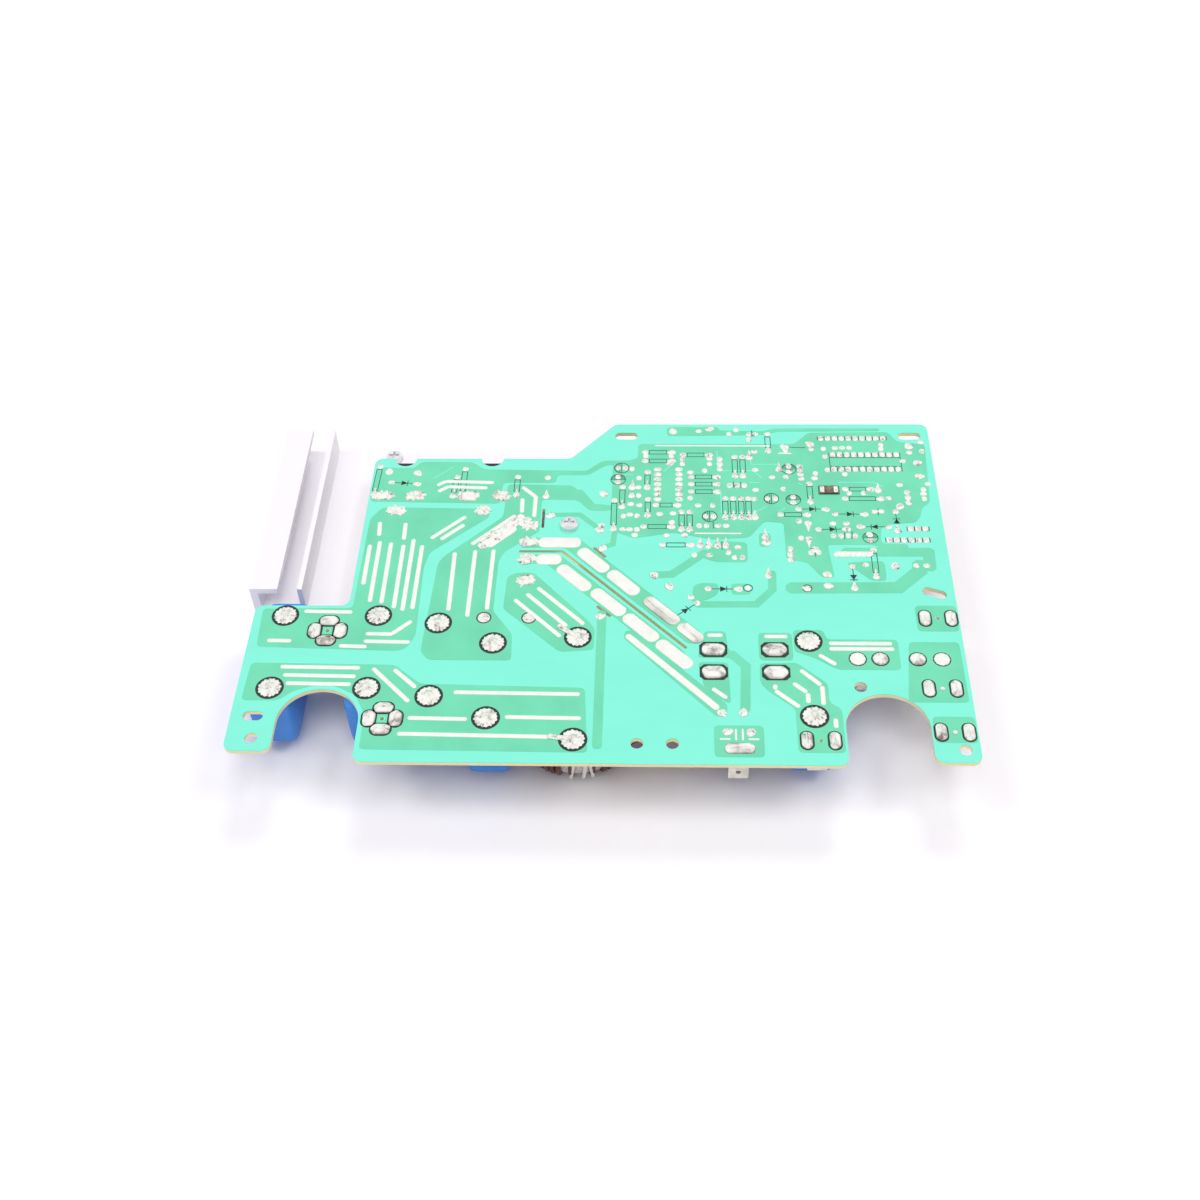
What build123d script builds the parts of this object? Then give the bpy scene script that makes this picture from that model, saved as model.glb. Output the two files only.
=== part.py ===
"""Induction fryer main board, lying solder side up on its heat sink and filter choke."""
import os

from build123d import *

# Board, in millimetres
BOARD_LENGTH = 232.0
BOARD_WIDTH = 153.5
BOARD_THICK = 1.6
BOARD_RISE = 25.5
SINK_OVERHANG = 4.6
CORNER_RADIUS = 3.0
OVERRUN = 2.0
FIT_GAP = 0.1

# Levels and edges that follow from the board
BOARD_TOP = BOARD_RISE
BOARD_BASE = BOARD_RISE - BOARD_THICK
BOARD_LEFT = (SINK_OVERHANG - BOARD_LENGTH) / 2
BOARD_FRONT = -BOARD_WIDTH / 2


def spot(share_x, share_y):
    """A place on the board from its shares of the length and the width."""
    return (BOARD_LEFT + share_x * BOARD_LENGTH, BOARD_FRONT + share_y * BOARD_WIDTH)


def middle_of(start, end):
    """The middle of two places."""
    return ((start[0] + end[0]) / 2, (start[1] + end[1]) / 2)


def level(height):
    """The plane that lies at a height above the floor."""
    return Plane.XY.offset(height)


# Board outline, notches, holes and slots, as shares of the board
OUTLINE_SHARES = (
    (0.0, 0.024), (0.119, 0.024), (0.119, 0.0), (0.883, 0.0), (0.883, 0.009), (1.0, 0.009),
    (1.0, 1.0), (0.508, 1.0), (0.440, 0.879), (0.134, 0.879), (0.134, 0.413), (0.0, 0.413),
)
FRONT_LIMIT_SHARE = 0.03
NOTCH_RADIUS = 13.0
NOTCH_SHARES = ((0.119, 0.098), (0.883, 0.094))
HALF_MOON_RADIUS = 4.0
HALF_MOON_SHARES = ((0.182, 0.879), (0.318, 0.879))
FIXING_HOLE_RADIUS = 2.0
FIXING_HOLE_SHARES = ((0.035, 0.056), (0.550, 0.050), (0.597, 0.050), (0.852, 0.197), (0.980, 0.040))
TAB_SIGHT_RADIUS = 0.75
SLOT_WIDTH = 3.6
WIDE_SLOT_LENGTH = 8.2
FOOT_SLOT_LENGTH = 6.4
FOOT_SLOT_SHARE = (0.031, 0.112)
BACK_SLOT_SHARES = ((0.526, 0.958), (0.970, 0.958))
TILTED_SLOT_SHARE = (0.971, 0.457)
TILTED_SLOT_TURN = -20
MILLED_WIDTH = 1.0
MILLED_SHARES = (
    ((0.372, 0.577), (0.436, 0.577)), ((0.436, 0.577), (0.617, 0.298)),
    ((0.482, 0.589), (0.500, 0.560)), ((0.490, 0.415), (0.510, 0.386)), ((0.404, 0.711), (0.404, 0.651)),
)

# Bare tin on the tracks: narrow strips and wide bars, from end to end
TIN_HEIGHT = 0.3
STRIP_WIDTH = 1.4
STRIP_SHARES = (
    ((0.071, 0.396), (0.141, 0.394)), ((0.027, 0.313), (0.062, 0.312)), ((0.130, 0.299), (0.170, 0.297)),
    ((0.164, 0.312), (0.230, 0.310)), ((0.165, 0.333), (0.201, 0.332)), ((0.204, 0.336), (0.228, 0.370)),
    ((0.158, 0.668), (0.160, 0.623)), ((0.197, 0.665), (0.198, 0.611)), ((0.149, 0.596), (0.149, 0.474)),
    ((0.163, 0.607), (0.163, 0.423)), ((0.180, 0.603), (0.180, 0.419)), ((0.199, 0.596), (0.199, 0.405)),
    ((0.213, 0.614), (0.212, 0.398)), ((0.227, 0.595), (0.226, 0.403)), ((0.277, 0.573), (0.278, 0.399)),
    ((0.307, 0.580), (0.306, 0.382)), ((0.334, 0.582), (0.333, 0.402)), ((0.238, 0.615), (0.287, 0.686)),
    ((0.253, 0.612), (0.286, 0.660)), ((0.300, 0.597), (0.362, 0.690)), ((0.249, 0.801), (0.324, 0.797)),
    ((0.236, 0.787), (0.246, 0.799)), ((0.253, 0.783), (0.315, 0.779)), ((0.239, 0.766), (0.250, 0.781)),
    ((0.370, 0.745), (0.371, 0.698)), ((0.368, 0.783), (0.388, 0.753)), ((0.390, 0.747), (0.390, 0.684)),
    ((0.054, 0.241), (0.166, 0.239)), ((0.060, 0.219), (0.162, 0.216)), ((0.066, 0.197), (0.157, 0.195)),
    ((0.183, 0.239), (0.240, 0.150)), ((0.213, 0.236), (0.247, 0.187)), ((0.241, 0.109), (0.322, 0.107)),
    ((0.299, 0.176), (0.472, 0.173)), ((0.372, 0.113), (0.475, 0.111)), ((0.230, 0.069), (0.433, 0.064)),
    ((0.403, 0.468), (0.473, 0.362)), ((0.388, 0.450), (0.449, 0.356)), ((0.371, 0.433), (0.441, 0.327)),
    ((0.725, 0.331), (0.758, 0.331)), ((0.646, 0.334), (0.668, 0.334)), ((0.799, 0.282), (0.822, 0.255)),
    ((0.737, 0.202), (0.736, 0.188)),
    ((0.738, 0.183), (0.768, 0.143)), ((0.761, 0.206), (0.778, 0.183)), ((0.780, 0.178), (0.780, 0.154)),
    ((0.772, 0.241), (0.798, 0.202)), ((0.800, 0.197), (0.800, 0.149)), ((0.814, 0.116), (0.814, 0.091)),
    ((0.651, 0.191), (0.671, 0.165)), ((0.571, 0.924), (0.730, 0.924)), ((0.631, 0.634), (0.701, 0.634)),
    ((0.659, 0.062), (0.674, 0.062)), ((0.697, 0.062), (0.712, 0.062)), ((0.681, 0.088), (0.681, 0.059)),
    ((0.690, 0.088), (0.690, 0.059)),
)
MAINS_STRIP_RUN = 6.3
MAINS_STRIP_SHARES = ((0.902, 0.313), (0.904, 0.298))
BAR_WIDTH = 4.9
BAR_SHARES = (
    ((0.401, 0.604), (0.461, 0.604)), ((0.399, 0.552), (0.431, 0.552)),
    ((0.461, 0.583), (0.503, 0.517)), ((0.506, 0.516), (0.548, 0.450)), ((0.559, 0.438), (0.605, 0.366)),
    ((0.607, 0.364), (0.638, 0.316)), ((0.432, 0.532), (0.478, 0.462)), ((0.483, 0.461), (0.529, 0.391)),
    ((0.530, 0.389), (0.576, 0.319)), ((0.577, 0.316), (0.623, 0.246)),
    ((0.320, 0.594), (0.362, 0.658)),
)
LONG_STRIP_WIDTH = 2.4
LONG_STRIP_SHARES = (((0.535, 0.332), (0.657, 0.142)),)

# Film capacitors: middles of the boxes, leads at each end
FILM_WIDTH = 14.5
FILM_LENGTH = 44.4
FILM_HEIGHT = 18.5
FILM_ROUND = 1.5
FILM_PITCH = 30.5
FILM_SHARES = ((0.0455, 0.284), (0.179, 0.285), (0.266, 0.265), (0.3465, 0.210))
MAINS_CAPACITOR_SHARE = 0.2195
MAINS_CAPACITOR_GAP = 0.63
CHOKE_NEIGHBOUR = 3

# Ring choke lying flat under the front edge
CHOKE_SHARE = 0.192
CHOKE_CAPACITOR_GAP = 0.44
CHOKE_OUTER_RADIUS = 19.8
CHOKE_INNER_RADIUS = 7.0
CHOKE_HEIGHT = 21.0
CHOKE_STANDOFF = 1.5
WINDING_THICK = 2.2

# Power parts on the heat sink
SINK_LENGTH = 80.0
SINK_RIGHT_SHARE = 0.460
SINK_BACK_SHARE = 0.993
SINK_CAPACITOR_GAP = 6.4
SINK_TOP_DROP = 2.0
PLATE_DROP = 12.5
PLATE_THICK = 3.0
SIDE_WALL_THICK = 2.6
FLANGE_WIDTH = 9.6
FLANGE_THICK = 2.2
TALL_FIN_OFFSET = 16.3
TALL_FIN_THICK = 1.7
RAIL_WIDTH = 7.4
RAIL_LENGTH = 50.0
FIN_THICK = 1.8
FIN_COUNT = 11
PACKAGE_WIDTH = 15.8
PACKAGE_LENGTH = 20.8
PACKAGE_THICK = 5.0
PACKAGE_SHARES = (0.1795, 0.312)
PACKAGE_FRONT_SHARE = 0.779
PACKAGE_SCREW_SHARE = 0.873
OUTER_PIN_SHARE = 0.753
MIDDLE_PIN_SHARE = 0.705
PIN_PITCH = 5.9
PIN_WIDTH = 1.2
PIN_THICK = 0.7
PIN_LIFT = 2.2
BRIDGE_LENGTH = 30.0
BRIDGE_DEPTH = 20.0
BRIDGE_THICK = 4.6
BRIDGE_PIN_SHARE = 0.385
BRIDGE_PIN_ROW_SHARES = (0.658, 0.605, 0.554, 0.490)
BRIDGE_REACH = 4.0

# Screws
SCREW_HEAD_RADIUS = 3.1
SCREW_HEAD_HEIGHT = 2.1
SCREW_SHANK_RADIUS = 1.5
SCREW_LENGTH = 9.0
CROSS_LENGTH = 3.6
CROSS_WIDTH = 0.8
CROSS_DEPTH = 0.9
BOARD_SCREW_SHARE = (0.444, 0.657)
SINK_SCREW_SHARE = 0.150
SINK_SCREW_INSET = 4.3

# Spade tabs, coil terminals, fuse and varistor
TAB_SHARES = ((0.9705, 0.384), (0.962, 0.194), (0.9695, 0.083), (0.7925, 0.060))
TAB_LEG_SPAN = 8.5
TAB_WIDTH = 6.3
TAB_THICK = 0.8
TAB_DROP = 13.4
TAB_HOLE_RADIUS = 0.8
TAB_HOLE_RISE = 3.2
TAB_SHOULDER = 1.6
FRONT_TAB_SHARE = (0.6855, 0.039)
TERMINAL_SHARE = (0.110, 0.341)
FRONT_TERMINAL_SHARE = 0.107
FRONT_TERMINAL_NEIGHBOUR = 2
FRONT_TERMINAL_GAP = 1.64
TERMINAL_SIZE = 9.6
TERMINAL_DROP = 9.0
TERMINAL_WALL = 1.2
TERMINAL_LEG_SPAN = 8.4
TERMINAL_SCREW_RADIUS = 3.4
TERMINAL_HOLE_RADIUS = 1.8
FUSE_SHARES = ((0.852, 0.271), (0.883, 0.271), (0.934, 0.271), (0.967, 0.271))
FUSE_RADIUS = 2.6
FUSE_LENGTH = 20.0
FUSE_DROP = 7.5
CLIP_WIDTH = 8.4
CLIP_THICK = 0.5
VARISTOR_SHARES = ((0.663, 0.128), (0.692, 0.128))
VARISTOR_RADIUS = 7.0
VARISTOR_THICK = 4.4
VARISTOR_DROP = 2.5

# Filter choke on the mains side and supply transformer
FILTER_SHARE = (0.6965, 0.264)
FILTER_PIN_SHARES = ((0.654, 0.2945), (0.654, 0.2335), (0.739, 0.2945), (0.739, 0.2335))
FILTER_BASE_LENGTH = 26.0
FILTER_BASE_WIDTH = 24.0
FILTER_BASE_THICK = 2.0
FILTER_CORE_LENGTH = 24.0
FILTER_CORE_WIDTH = 9.0
FILTER_CORE_LEG = 5.0
FILTER_COIL_THICK = 3.2
FILTER_COIL_ROUND = 2.5
TRANSFORMER_SHARE = (0.662, 0.527)
TRANSFORMER_LENGTH = 19.0
TRANSFORMER_WIDTH = 15.0
TRANSFORMER_CORE_WIDTH = 5.0
TRANSFORMER_DROP = 16.0
TRANSFORMER_LEG = 4.0
TRANSFORMER_BASE_THICK = 3.0

# Signal parts: end places of resistors and diodes, middles of the rest
AXIAL_RADIUS = 1.1
AXIAL_DROP = 1.6
LEAD_WIDTH = 0.6
RESISTOR_SHARES = (
    ((0.695, 0.885), (0.695, 0.821)), ((0.707, 0.885), (0.707, 0.821)), ((0.510, 0.739), (0.510, 0.648)),
    ((0.522, 0.783), (0.522, 0.719)), ((0.561, 0.743), (0.561, 0.691)), ((0.560, 0.833), (0.560, 0.782)),
    ((0.612, 0.702), (0.612, 0.646)), ((0.624, 0.702), (0.624, 0.646)), ((0.678, 0.746), (0.678, 0.685)),
    ((0.690, 0.746), (0.690, 0.685)), ((0.702, 0.746), (0.702, 0.685)), ((0.713, 0.746), (0.713, 0.685)),
    ((0.807, 0.795), (0.807, 0.735)), ((0.748, 0.965), (0.748, 0.906)), ((0.892, 0.584), (0.892, 0.504)),
    ((0.760, 0.694), (0.800, 0.694)), ((0.859, 0.746), (0.913, 0.746)), ((0.583, 0.598), (0.625, 0.598)),
    ((0.573, 0.724), (0.606, 0.724)), ((0.555, 0.655), (0.597, 0.655)), ((0.627, 0.817), (0.667, 0.817)),
    ((0.627, 0.793), (0.667, 0.793)), ((0.627, 0.768), (0.667, 0.768)), ((0.556, 0.901), (0.598, 0.901)),
    ((0.556, 0.871), (0.598, 0.871)), ((0.615, 0.892), (0.656, 0.892)), ((0.861, 0.777), (0.900, 0.777)),
    ((0.143, 0.851), (0.143, 0.790)), ((0.277, 0.843), (0.240, 0.843)), ((0.360, 0.816), (0.360, 0.756)),
)
DIODE_SHARES = (
    ((0.649, 0.466), (0.693, 0.466)), ((0.842, 0.696), (0.886, 0.696)), ((0.877, 0.656), (0.919, 0.656)),
    ((0.788, 0.712), (0.829, 0.712)), ((0.830, 0.648), (0.861, 0.648)), ((0.859, 0.533), (0.859, 0.470)),
    ((0.932, 0.704), (0.932, 0.644)), ((0.165, 0.797), (0.206, 0.793)), ((0.406, 0.814), (0.406, 0.752)),
)
RADIAL_RADIUS = 2.6
RADIAL_DROP = 11.5
RADIAL_PITCH = 2.2
RADIAL_SHARES = (
    (0.748, 0.760), (0.782, 0.760), (0.890, 0.622), (0.776, 0.844),
    (0.519, 0.855), (0.514, 0.812), (0.650, 0.680),
)
TRANSISTOR_WIDTH = 4.6
TRANSISTOR_DEPTH = 3.4
TRANSISTOR_DROP = 6.5
TRANSISTOR_SHARES = ((0.693, 0.795), (0.672, 0.862), (0.955, 0.762), (0.771, 0.570))
CHIP_PITCH = 2.54
CHIP_ROWS_APART = 7.6
CHIP_BODY_WIDTH = 6.4
CHIP_BODY_HEIGHT = 3.4
CHIP_STANDOFF = 0.6
CONTROLLER_SHARE = (0.8965, 0.868)
CONTROLLER_PINS = 10
COMPARATOR_SHARE = (0.592, 0.792)
COMPARATOR_PINS = 7
HEADER_PITCH = 2.5
HEADER_DEPTH = 5.0
HEADER_DROP = 7.0
HEADER_WALL = 0.9
PANEL_SHARE = (0.880, 0.950)
PANEL_PINS = 10
SENSOR_SHARE = (0.9445, 0.615)
SENSOR_PINS = 6
FAN_SHARE = (0.962, 0.650)
FAN_PINS = 3
SHUNT_SHARE = (0.836, 0.773)
SHUNT_LENGTH = 6.6
SHUNT_WIDTH = 3.6
SHUNT_THICK = 0.7
LONE_PAD_SHARES = (
    (0.571, 0.507), (0.593, 0.473), (0.738, 0.631), (0.737, 0.606), (0.738, 0.510), (0.600, 0.974),
    (0.657, 0.983), (0.774, 0.919), (0.814, 0.930), (0.967, 0.920), (0.976, 0.865), (0.976, 0.820),
    (0.940, 0.722), (0.922, 0.552), (0.791, 0.468), (0.821, 0.476), (0.821, 0.510), (0.807, 0.585),
    (0.494, 0.760), (0.490, 0.645), (0.495, 0.588), (0.495, 0.385), (0.415, 0.690),
    (0.159, 0.833), (0.203, 0.829),
)

# Joints on the solder side
RING_RADIUS = 4.3
RING_INK_THICK = 0.1
RING_JOINT_RADIUS = 3.7
RING_TIP_RADIUS = 0.9
RING_JOINT_HEIGHT = 1.5
SMALL_RING_SHARES = ((0.330, 0.380), (0.390, 0.366))
SMALL_RING_RADIUS = 2.0
POWER_JOINT_RADIUS = 2.4
POWER_TIP_RADIUS = 0.8
POWER_JOINT_HEIGHT = 1.4
OVAL_HEIGHT = 0.9
FILTER_OVAL_LENGTH = 8.6
FILTER_OVAL_WIDTH = 6.4
TAB_OVAL_LENGTH = 6.8
TAB_OVAL_WIDTH = 4.2
FUSE_JOINT_RADIUS = 2.7
FUSE_TIP_RADIUS = 1.4
PETAL_LENGTH = 6.0
PETAL_WIDTH = 4.0
FRONT_OVAL_LENGTH = 10.0
FRONT_OVAL_WIDTH = 3.0
FRONT_DOT_SHARES = ((0.670, 0.080), (0.701, 0.080))
SIGNAL_JOINT_RADIUS = 0.9
SIGNAL_JOINT_HEIGHT = 0.8
HOLE_RADIUS = 1.0
LEAD_RADIUS = HOLE_RADIUS - FIT_GAP
LEAD_SIDES = 6

FILTER_PLACE = spot(*FILTER_SHARE)
MAINS_REACH = FILTER_BASE_LENGTH / 2 + MAINS_CAPACITOR_GAP + FILM_WIDTH / 2
MAINS_PLACE = (FILTER_PLACE[0] + MAINS_REACH, spot(0, MAINS_CAPACITOR_SHARE)[1])
FILM_PLACES = [*(spot(*share) for share in FILM_SHARES), MAINS_PLACE]
TERMINAL_REACH = FILM_WIDTH / 2 + FRONT_TERMINAL_GAP + TERMINAL_SIZE / 2
FRONT_TERMINAL_X = FILM_PLACES[FRONT_TERMINAL_NEIGHBOUR][0] - TERMINAL_REACH
TERMINAL_PLACES = [spot(*TERMINAL_SHARE), (FRONT_TERMINAL_X, spot(0, FRONT_TERMINAL_SHARE)[1])]
TAB_PLACES = [spot(*share) for share in TAB_SHARES]
FUSE_PLACES = [spot(*share) for share in FUSE_SHARES]
VARISTOR_PLACES = [spot(*share) for share in VARISTOR_SHARES]
FILTER_PLACES = [spot(*share) for share in FILTER_PIN_SHARES]
CHOKE_REACH = FILM_WIDTH / 2 + CHOKE_CAPACITOR_GAP + CHOKE_OUTER_RADIUS
CHOKE_PLACE = (FILM_PLACES[CHOKE_NEIGHBOUR][0] + CHOKE_REACH, spot(0, CHOKE_SHARE)[1])
CHOKE_LEAD_REACH = CHOKE_OUTER_RADIUS + LEAD_RADIUS
PACKAGE_PLACES = [spot(share, PACKAGE_FRONT_SHARE) for share in PACKAGE_SHARES]
BRIDGE_PINS = [spot(BRIDGE_PIN_SHARE, share) for share in BRIDGE_PIN_ROW_SHARES]


# How a box lies on its place: standing on it, hanging from it, or reaching away from it
STANDING = (Align.CENTER, Align.CENTER, Align.MIN)
HANGING = (Align.CENTER, Align.CENTER, Align.MAX)
REACHING_FRONT = (Align.CENTER, Align.MIN, Align.MIN)
REACHING_SIDE = (Align.MIN, Align.CENTER, Align.MIN)


def film_leads(place):
    """The two lead places of a film capacitor."""
    x, y = place
    return [(x, y - FILM_PITCH / 2), (x, y + FILM_PITCH / 2)]


def tab_legs(place):
    """The two leg places of a spade tab."""
    x, y = place
    return [(x - TAB_LEG_SPAN / 2, y), (x + TAB_LEG_SPAN / 2, y)]


def terminal_legs(place):
    """The four leg places of a coil terminal."""
    x, y = place
    half = TERMINAL_LEG_SPAN / 2
    return [(x - half, y), (x + half, y), (x, y - half), (x, y + half)]


def package_pins(share):
    """The three pin places of a power transistor, the middle one set forward."""
    x = spot(share, OUTER_PIN_SHARE)[0]
    outer = spot(share, OUTER_PIN_SHARE)[1]
    inner = spot(share, MIDDLE_PIN_SHARE)[1]
    return [(x - PIN_PITCH, outer), (x, inner), (x + PIN_PITCH, outer)]


def row_of(place, count, pitch):
    """The places of a straight row of pins along the board's length."""
    x, y = place
    return [(x + (i - (count - 1) / 2) * pitch, y) for i in range(count)]


def chip_pins(place, count, turned):
    """The places of a chip's two pin rows."""
    rows = []
    for side in (-1, 1):
        row = row_of((0, side * CHIP_ROWS_APART / 2), count, CHIP_PITCH)
        rows += [(place[0] + y, place[1] + x) if turned else (place[0] + x, place[1] + y) for x, y in row]
    return rows


RING_PLACES = [lead for place in FILM_PLACES for lead in film_leads(place)]
RING_PLACES += [(CHOKE_PLACE[0], CHOKE_PLACE[1] + side * CHOKE_LEAD_REACH) for side in (-1, 1)]
SMALL_RING_PLACES = [spot(*share) for share in SMALL_RING_SHARES]
LEG_PLACES = [leg for place in TAB_PLACES for leg in tab_legs(place)]
PETAL_PLACES = [leg for place in TERMINAL_PLACES for leg in terminal_legs(place)]
PACKAGE_PINS = [pin for share in PACKAGE_SHARES for pin in package_pins(share)]
FRONT_TAB_PLACE = spot(*FRONT_TAB_SHARE)
LEAD_PLACES = RING_PLACES + FILTER_PLACES + FUSE_PLACES + VARISTOR_PLACES
PIN_PLACES = PACKAGE_PINS + BRIDGE_PINS
CONTROLLER_PLACE = spot(*CONTROLLER_SHARE)
COMPARATOR_PLACE = spot(*COMPARATOR_SHARE)
CONTROLLER_PLACES = chip_pins(CONTROLLER_PLACE, CONTROLLER_PINS, False)
COMPARATOR_PLACES = chip_pins(COMPARATOR_PLACE, COMPARATOR_PINS, True)
PANEL_PLACES = row_of(spot(*PANEL_SHARE), PANEL_PINS, HEADER_PITCH)
SENSOR_PLACES = row_of(spot(*SENSOR_SHARE), SENSOR_PINS, HEADER_PITCH)
FAN_PLACES = row_of(spot(*FAN_SHARE), FAN_PINS, HEADER_PITCH)
RADIAL_PLACES = [spot(*share) for share in RADIAL_SHARES]
TRANSISTOR_PLACES = [spot(*share) for share in TRANSISTOR_SHARES]
RADIAL_PINS = [pin for place in RADIAL_PLACES for pin in row_of(place, 2, RADIAL_PITCH)]
TRANSISTOR_PINS = [pin for place in TRANSISTOR_PLACES for pin in row_of(place, 3, CHIP_PITCH)]
RESISTOR_ENDS = [(spot(*start), spot(*end)) for start, end in RESISTOR_SHARES]
DIODE_ENDS = [(spot(*start), spot(*end)) for start, end in DIODE_SHARES]
AXIAL_PINS = [pin for ends in RESISTOR_ENDS + DIODE_ENDS for pin in ends]
LONE_PLACES = [spot(*share) for share in LONE_PAD_SHARES + FRONT_DOT_SHARES] + VARISTOR_PLACES
SIGNAL_PLACES = CONTROLLER_PLACES + COMPARATOR_PLACES + PANEL_PLACES + SENSOR_PLACES + FAN_PLACES
SIGNAL_PLACES += RADIAL_PINS + TRANSISTOR_PINS + AXIAL_PINS + LONE_PLACES
PARTS = {}


def bars(ends, width):
    """Flat-ended bars from place to place, drawn in the current sketch."""
    for start, end in ends:
        run = Vector(*end) - Vector(*start)
        with Locations(middle_of(start, end)):
            Rectangle(run.length, width, rotation=Axis.X.direction.get_signed_angle(run, Axis.Z.direction))


def places_of(pairs):
    """Places of pairs of shares."""
    return [(spot(*start), spot(*end)) for start, end in pairs]


# Circuit board with its notches, holes, slots and lead holes
with BuildPart() as circuit_board:
    with BuildSketch(level(BOARD_BASE)) as board_sketch:
        with BuildLine():
            Polyline(*[spot(*share) for share in OUTLINE_SHARES], close=True)
        make_face()
        for notch in [spot(*share) for share in NOTCH_SHARES]:
            with Locations(notch):
                Circle(NOTCH_RADIUS, mode=Mode.SUBTRACT)
            mouth = notch[1] - BOARD_FRONT + OVERRUN
            with Locations((notch[0], notch[1] - mouth / 2)):
                Rectangle(NOTCH_RADIUS * 2, mouth, mode=Mode.SUBTRACT)
        front_limit = spot(0, FRONT_LIMIT_SHARE)[1]
        notch_level = spot(0, NOTCH_SHARES[0][1])[1]
        notch_limit = notch_level + NOTCH_RADIUS
        corners = [v for v in board_sketch.vertices() if v.Y < front_limit or v.Y > notch_limit]
        fillet(corners, CORNER_RADIUS)
        with Locations(*[spot(*share) for share in HALF_MOON_SHARES]):
            Circle(HALF_MOON_RADIUS, mode=Mode.SUBTRACT)
        with Locations(*[spot(*share) for share in FIXING_HOLE_SHARES]):
            Circle(FIXING_HOLE_RADIUS, mode=Mode.SUBTRACT)
        with Locations(spot(*BOARD_SCREW_SHARE)):
            Circle(SCREW_SHANK_RADIUS + FIT_GAP, mode=Mode.SUBTRACT)
        with Locations(spot(*FOOT_SLOT_SHARE)):
            SlotOverall(FOOT_SLOT_LENGTH, SLOT_WIDTH, mode=Mode.SUBTRACT)
        with Locations(*[spot(*share) for share in BACK_SLOT_SHARES]):
            SlotOverall(WIDE_SLOT_LENGTH, SLOT_WIDTH, mode=Mode.SUBTRACT)
        with Locations(spot(*TILTED_SLOT_SHARE)):
            SlotOverall(WIDE_SLOT_LENGTH, SLOT_WIDTH, rotation=TILTED_SLOT_TURN, mode=Mode.SUBTRACT)
    extrude(amount=BOARD_THICK)
    with BuildSketch(level(BOARD_BASE)):
        bars(places_of(MILLED_SHARES), MILLED_WIDTH)
    extrude(amount=BOARD_THICK, mode=Mode.SUBTRACT)
    with BuildSketch(level(BOARD_BASE)):
        with Locations(*LEAD_PLACES):
            RegularPolygon(HOLE_RADIUS, LEAD_SIDES)
        with Locations(*(PIN_PLACES + LEG_PLACES + PETAL_PLACES + [FRONT_TAB_PLACE])):
            Rectangle(PIN_WIDTH + FIT_GAP * 2, PIN_WIDTH + FIT_GAP * 2)
        with Locations(*(TAB_PLACES + TERMINAL_PLACES)):
            RegularPolygon(TAB_SIGHT_RADIUS, LEAD_SIDES)
    extrude(amount=BOARD_THICK, mode=Mode.SUBTRACT)
PARTS["circuit_board"] = circuit_board.part

# Bare tin on the tracks
mains_strip_ends = [spot(*share) for share in MAINS_STRIP_SHARES]
mains_strips = [((MAINS_PLACE[0] + MAINS_STRIP_RUN, end[1]), end) for end in mains_strip_ends]
with BuildPart() as tin_strips:
    with BuildSketch(level(BOARD_TOP)):
        bars(places_of(STRIP_SHARES) + mains_strips, STRIP_WIDTH)
        bars(places_of(LONG_STRIP_SHARES), LONG_STRIP_WIDTH)
    extrude(amount=TIN_HEIGHT)
PARTS["tin_strips"] = tin_strips.part

with BuildPart() as tin_bars:
    with BuildSketch(level(BOARD_TOP)):
        bars(places_of(BAR_SHARES), BAR_WIDTH)
    extrude(amount=TIN_HEIGHT)
PARTS["tin_bars"] = tin_bars.part

# Ringed joints of the capacitors and the choke
with BuildPart() as ring_inks:
    with BuildSketch(level(BOARD_TOP)):
        with Locations(*RING_PLACES):
            Circle(RING_RADIUS)
    extrude(amount=RING_INK_THICK)
PARTS["ring_inks"] = ring_inks.part


def cones(places, base, foot_radius, tip_radius, height):
    """Solder cones standing on a level, drawn in the current part."""
    with Locations(*[(x, y, base) for x, y in places]):
        Cone(foot_radius, tip_radius, height, align=STANDING)


with BuildPart() as ring_joints:
    cones(RING_PLACES, BOARD_TOP + RING_INK_THICK, RING_JOINT_RADIUS, RING_TIP_RADIUS, RING_JOINT_HEIGHT)
PARTS["ring_joints"] = ring_joints.part

# Joints of the power parts, the fuse clips, the filter, the tabs and the coil terminals
with BuildPart() as power_joints:
    cones(PIN_PLACES, BOARD_TOP, POWER_JOINT_RADIUS, POWER_TIP_RADIUS, POWER_JOINT_HEIGHT)
PARTS["power_joints"] = power_joints.part

with BuildPart() as fuse_joints:
    cones(FUSE_PLACES, BOARD_TOP, FUSE_JOINT_RADIUS, FUSE_TIP_RADIUS, OVAL_HEIGHT)
    cones(SMALL_RING_PLACES, BOARD_TOP, SMALL_RING_RADIUS, FUSE_TIP_RADIUS, TIN_HEIGHT)
PARTS["fuse_joints"] = fuse_joints.part

with BuildPart() as filter_joints:
    with BuildSketch(level(BOARD_TOP)):
        with Locations(*FILTER_PLACES):
            SlotOverall(FILTER_OVAL_LENGTH, FILTER_OVAL_WIDTH)
    extrude(amount=OVAL_HEIGHT)
PARTS["filter_joints"] = filter_joints.part

with BuildPart() as tab_joints:
    with BuildSketch(level(BOARD_TOP)):
        with Locations(*LEG_PLACES):
            SlotOverall(TAB_OVAL_LENGTH, TAB_OVAL_WIDTH, rotation=90)
        with Locations(FRONT_TAB_PLACE):
            SlotOverall(FRONT_OVAL_LENGTH, FRONT_OVAL_WIDTH)
    extrude(amount=OVAL_HEIGHT)
PARTS["tab_joints"] = tab_joints.part

with BuildPart() as terminal_joints:
    with BuildSketch(level(BOARD_TOP)):
        for i, place in enumerate(PETAL_PLACES):
            with Locations(place):
                SlotOverall(PETAL_LENGTH, PETAL_WIDTH, rotation=90 if i % 4 < 2 else 0)
    extrude(amount=OVAL_HEIGHT)
PARTS["terminal_joints"] = terminal_joints.part

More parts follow.
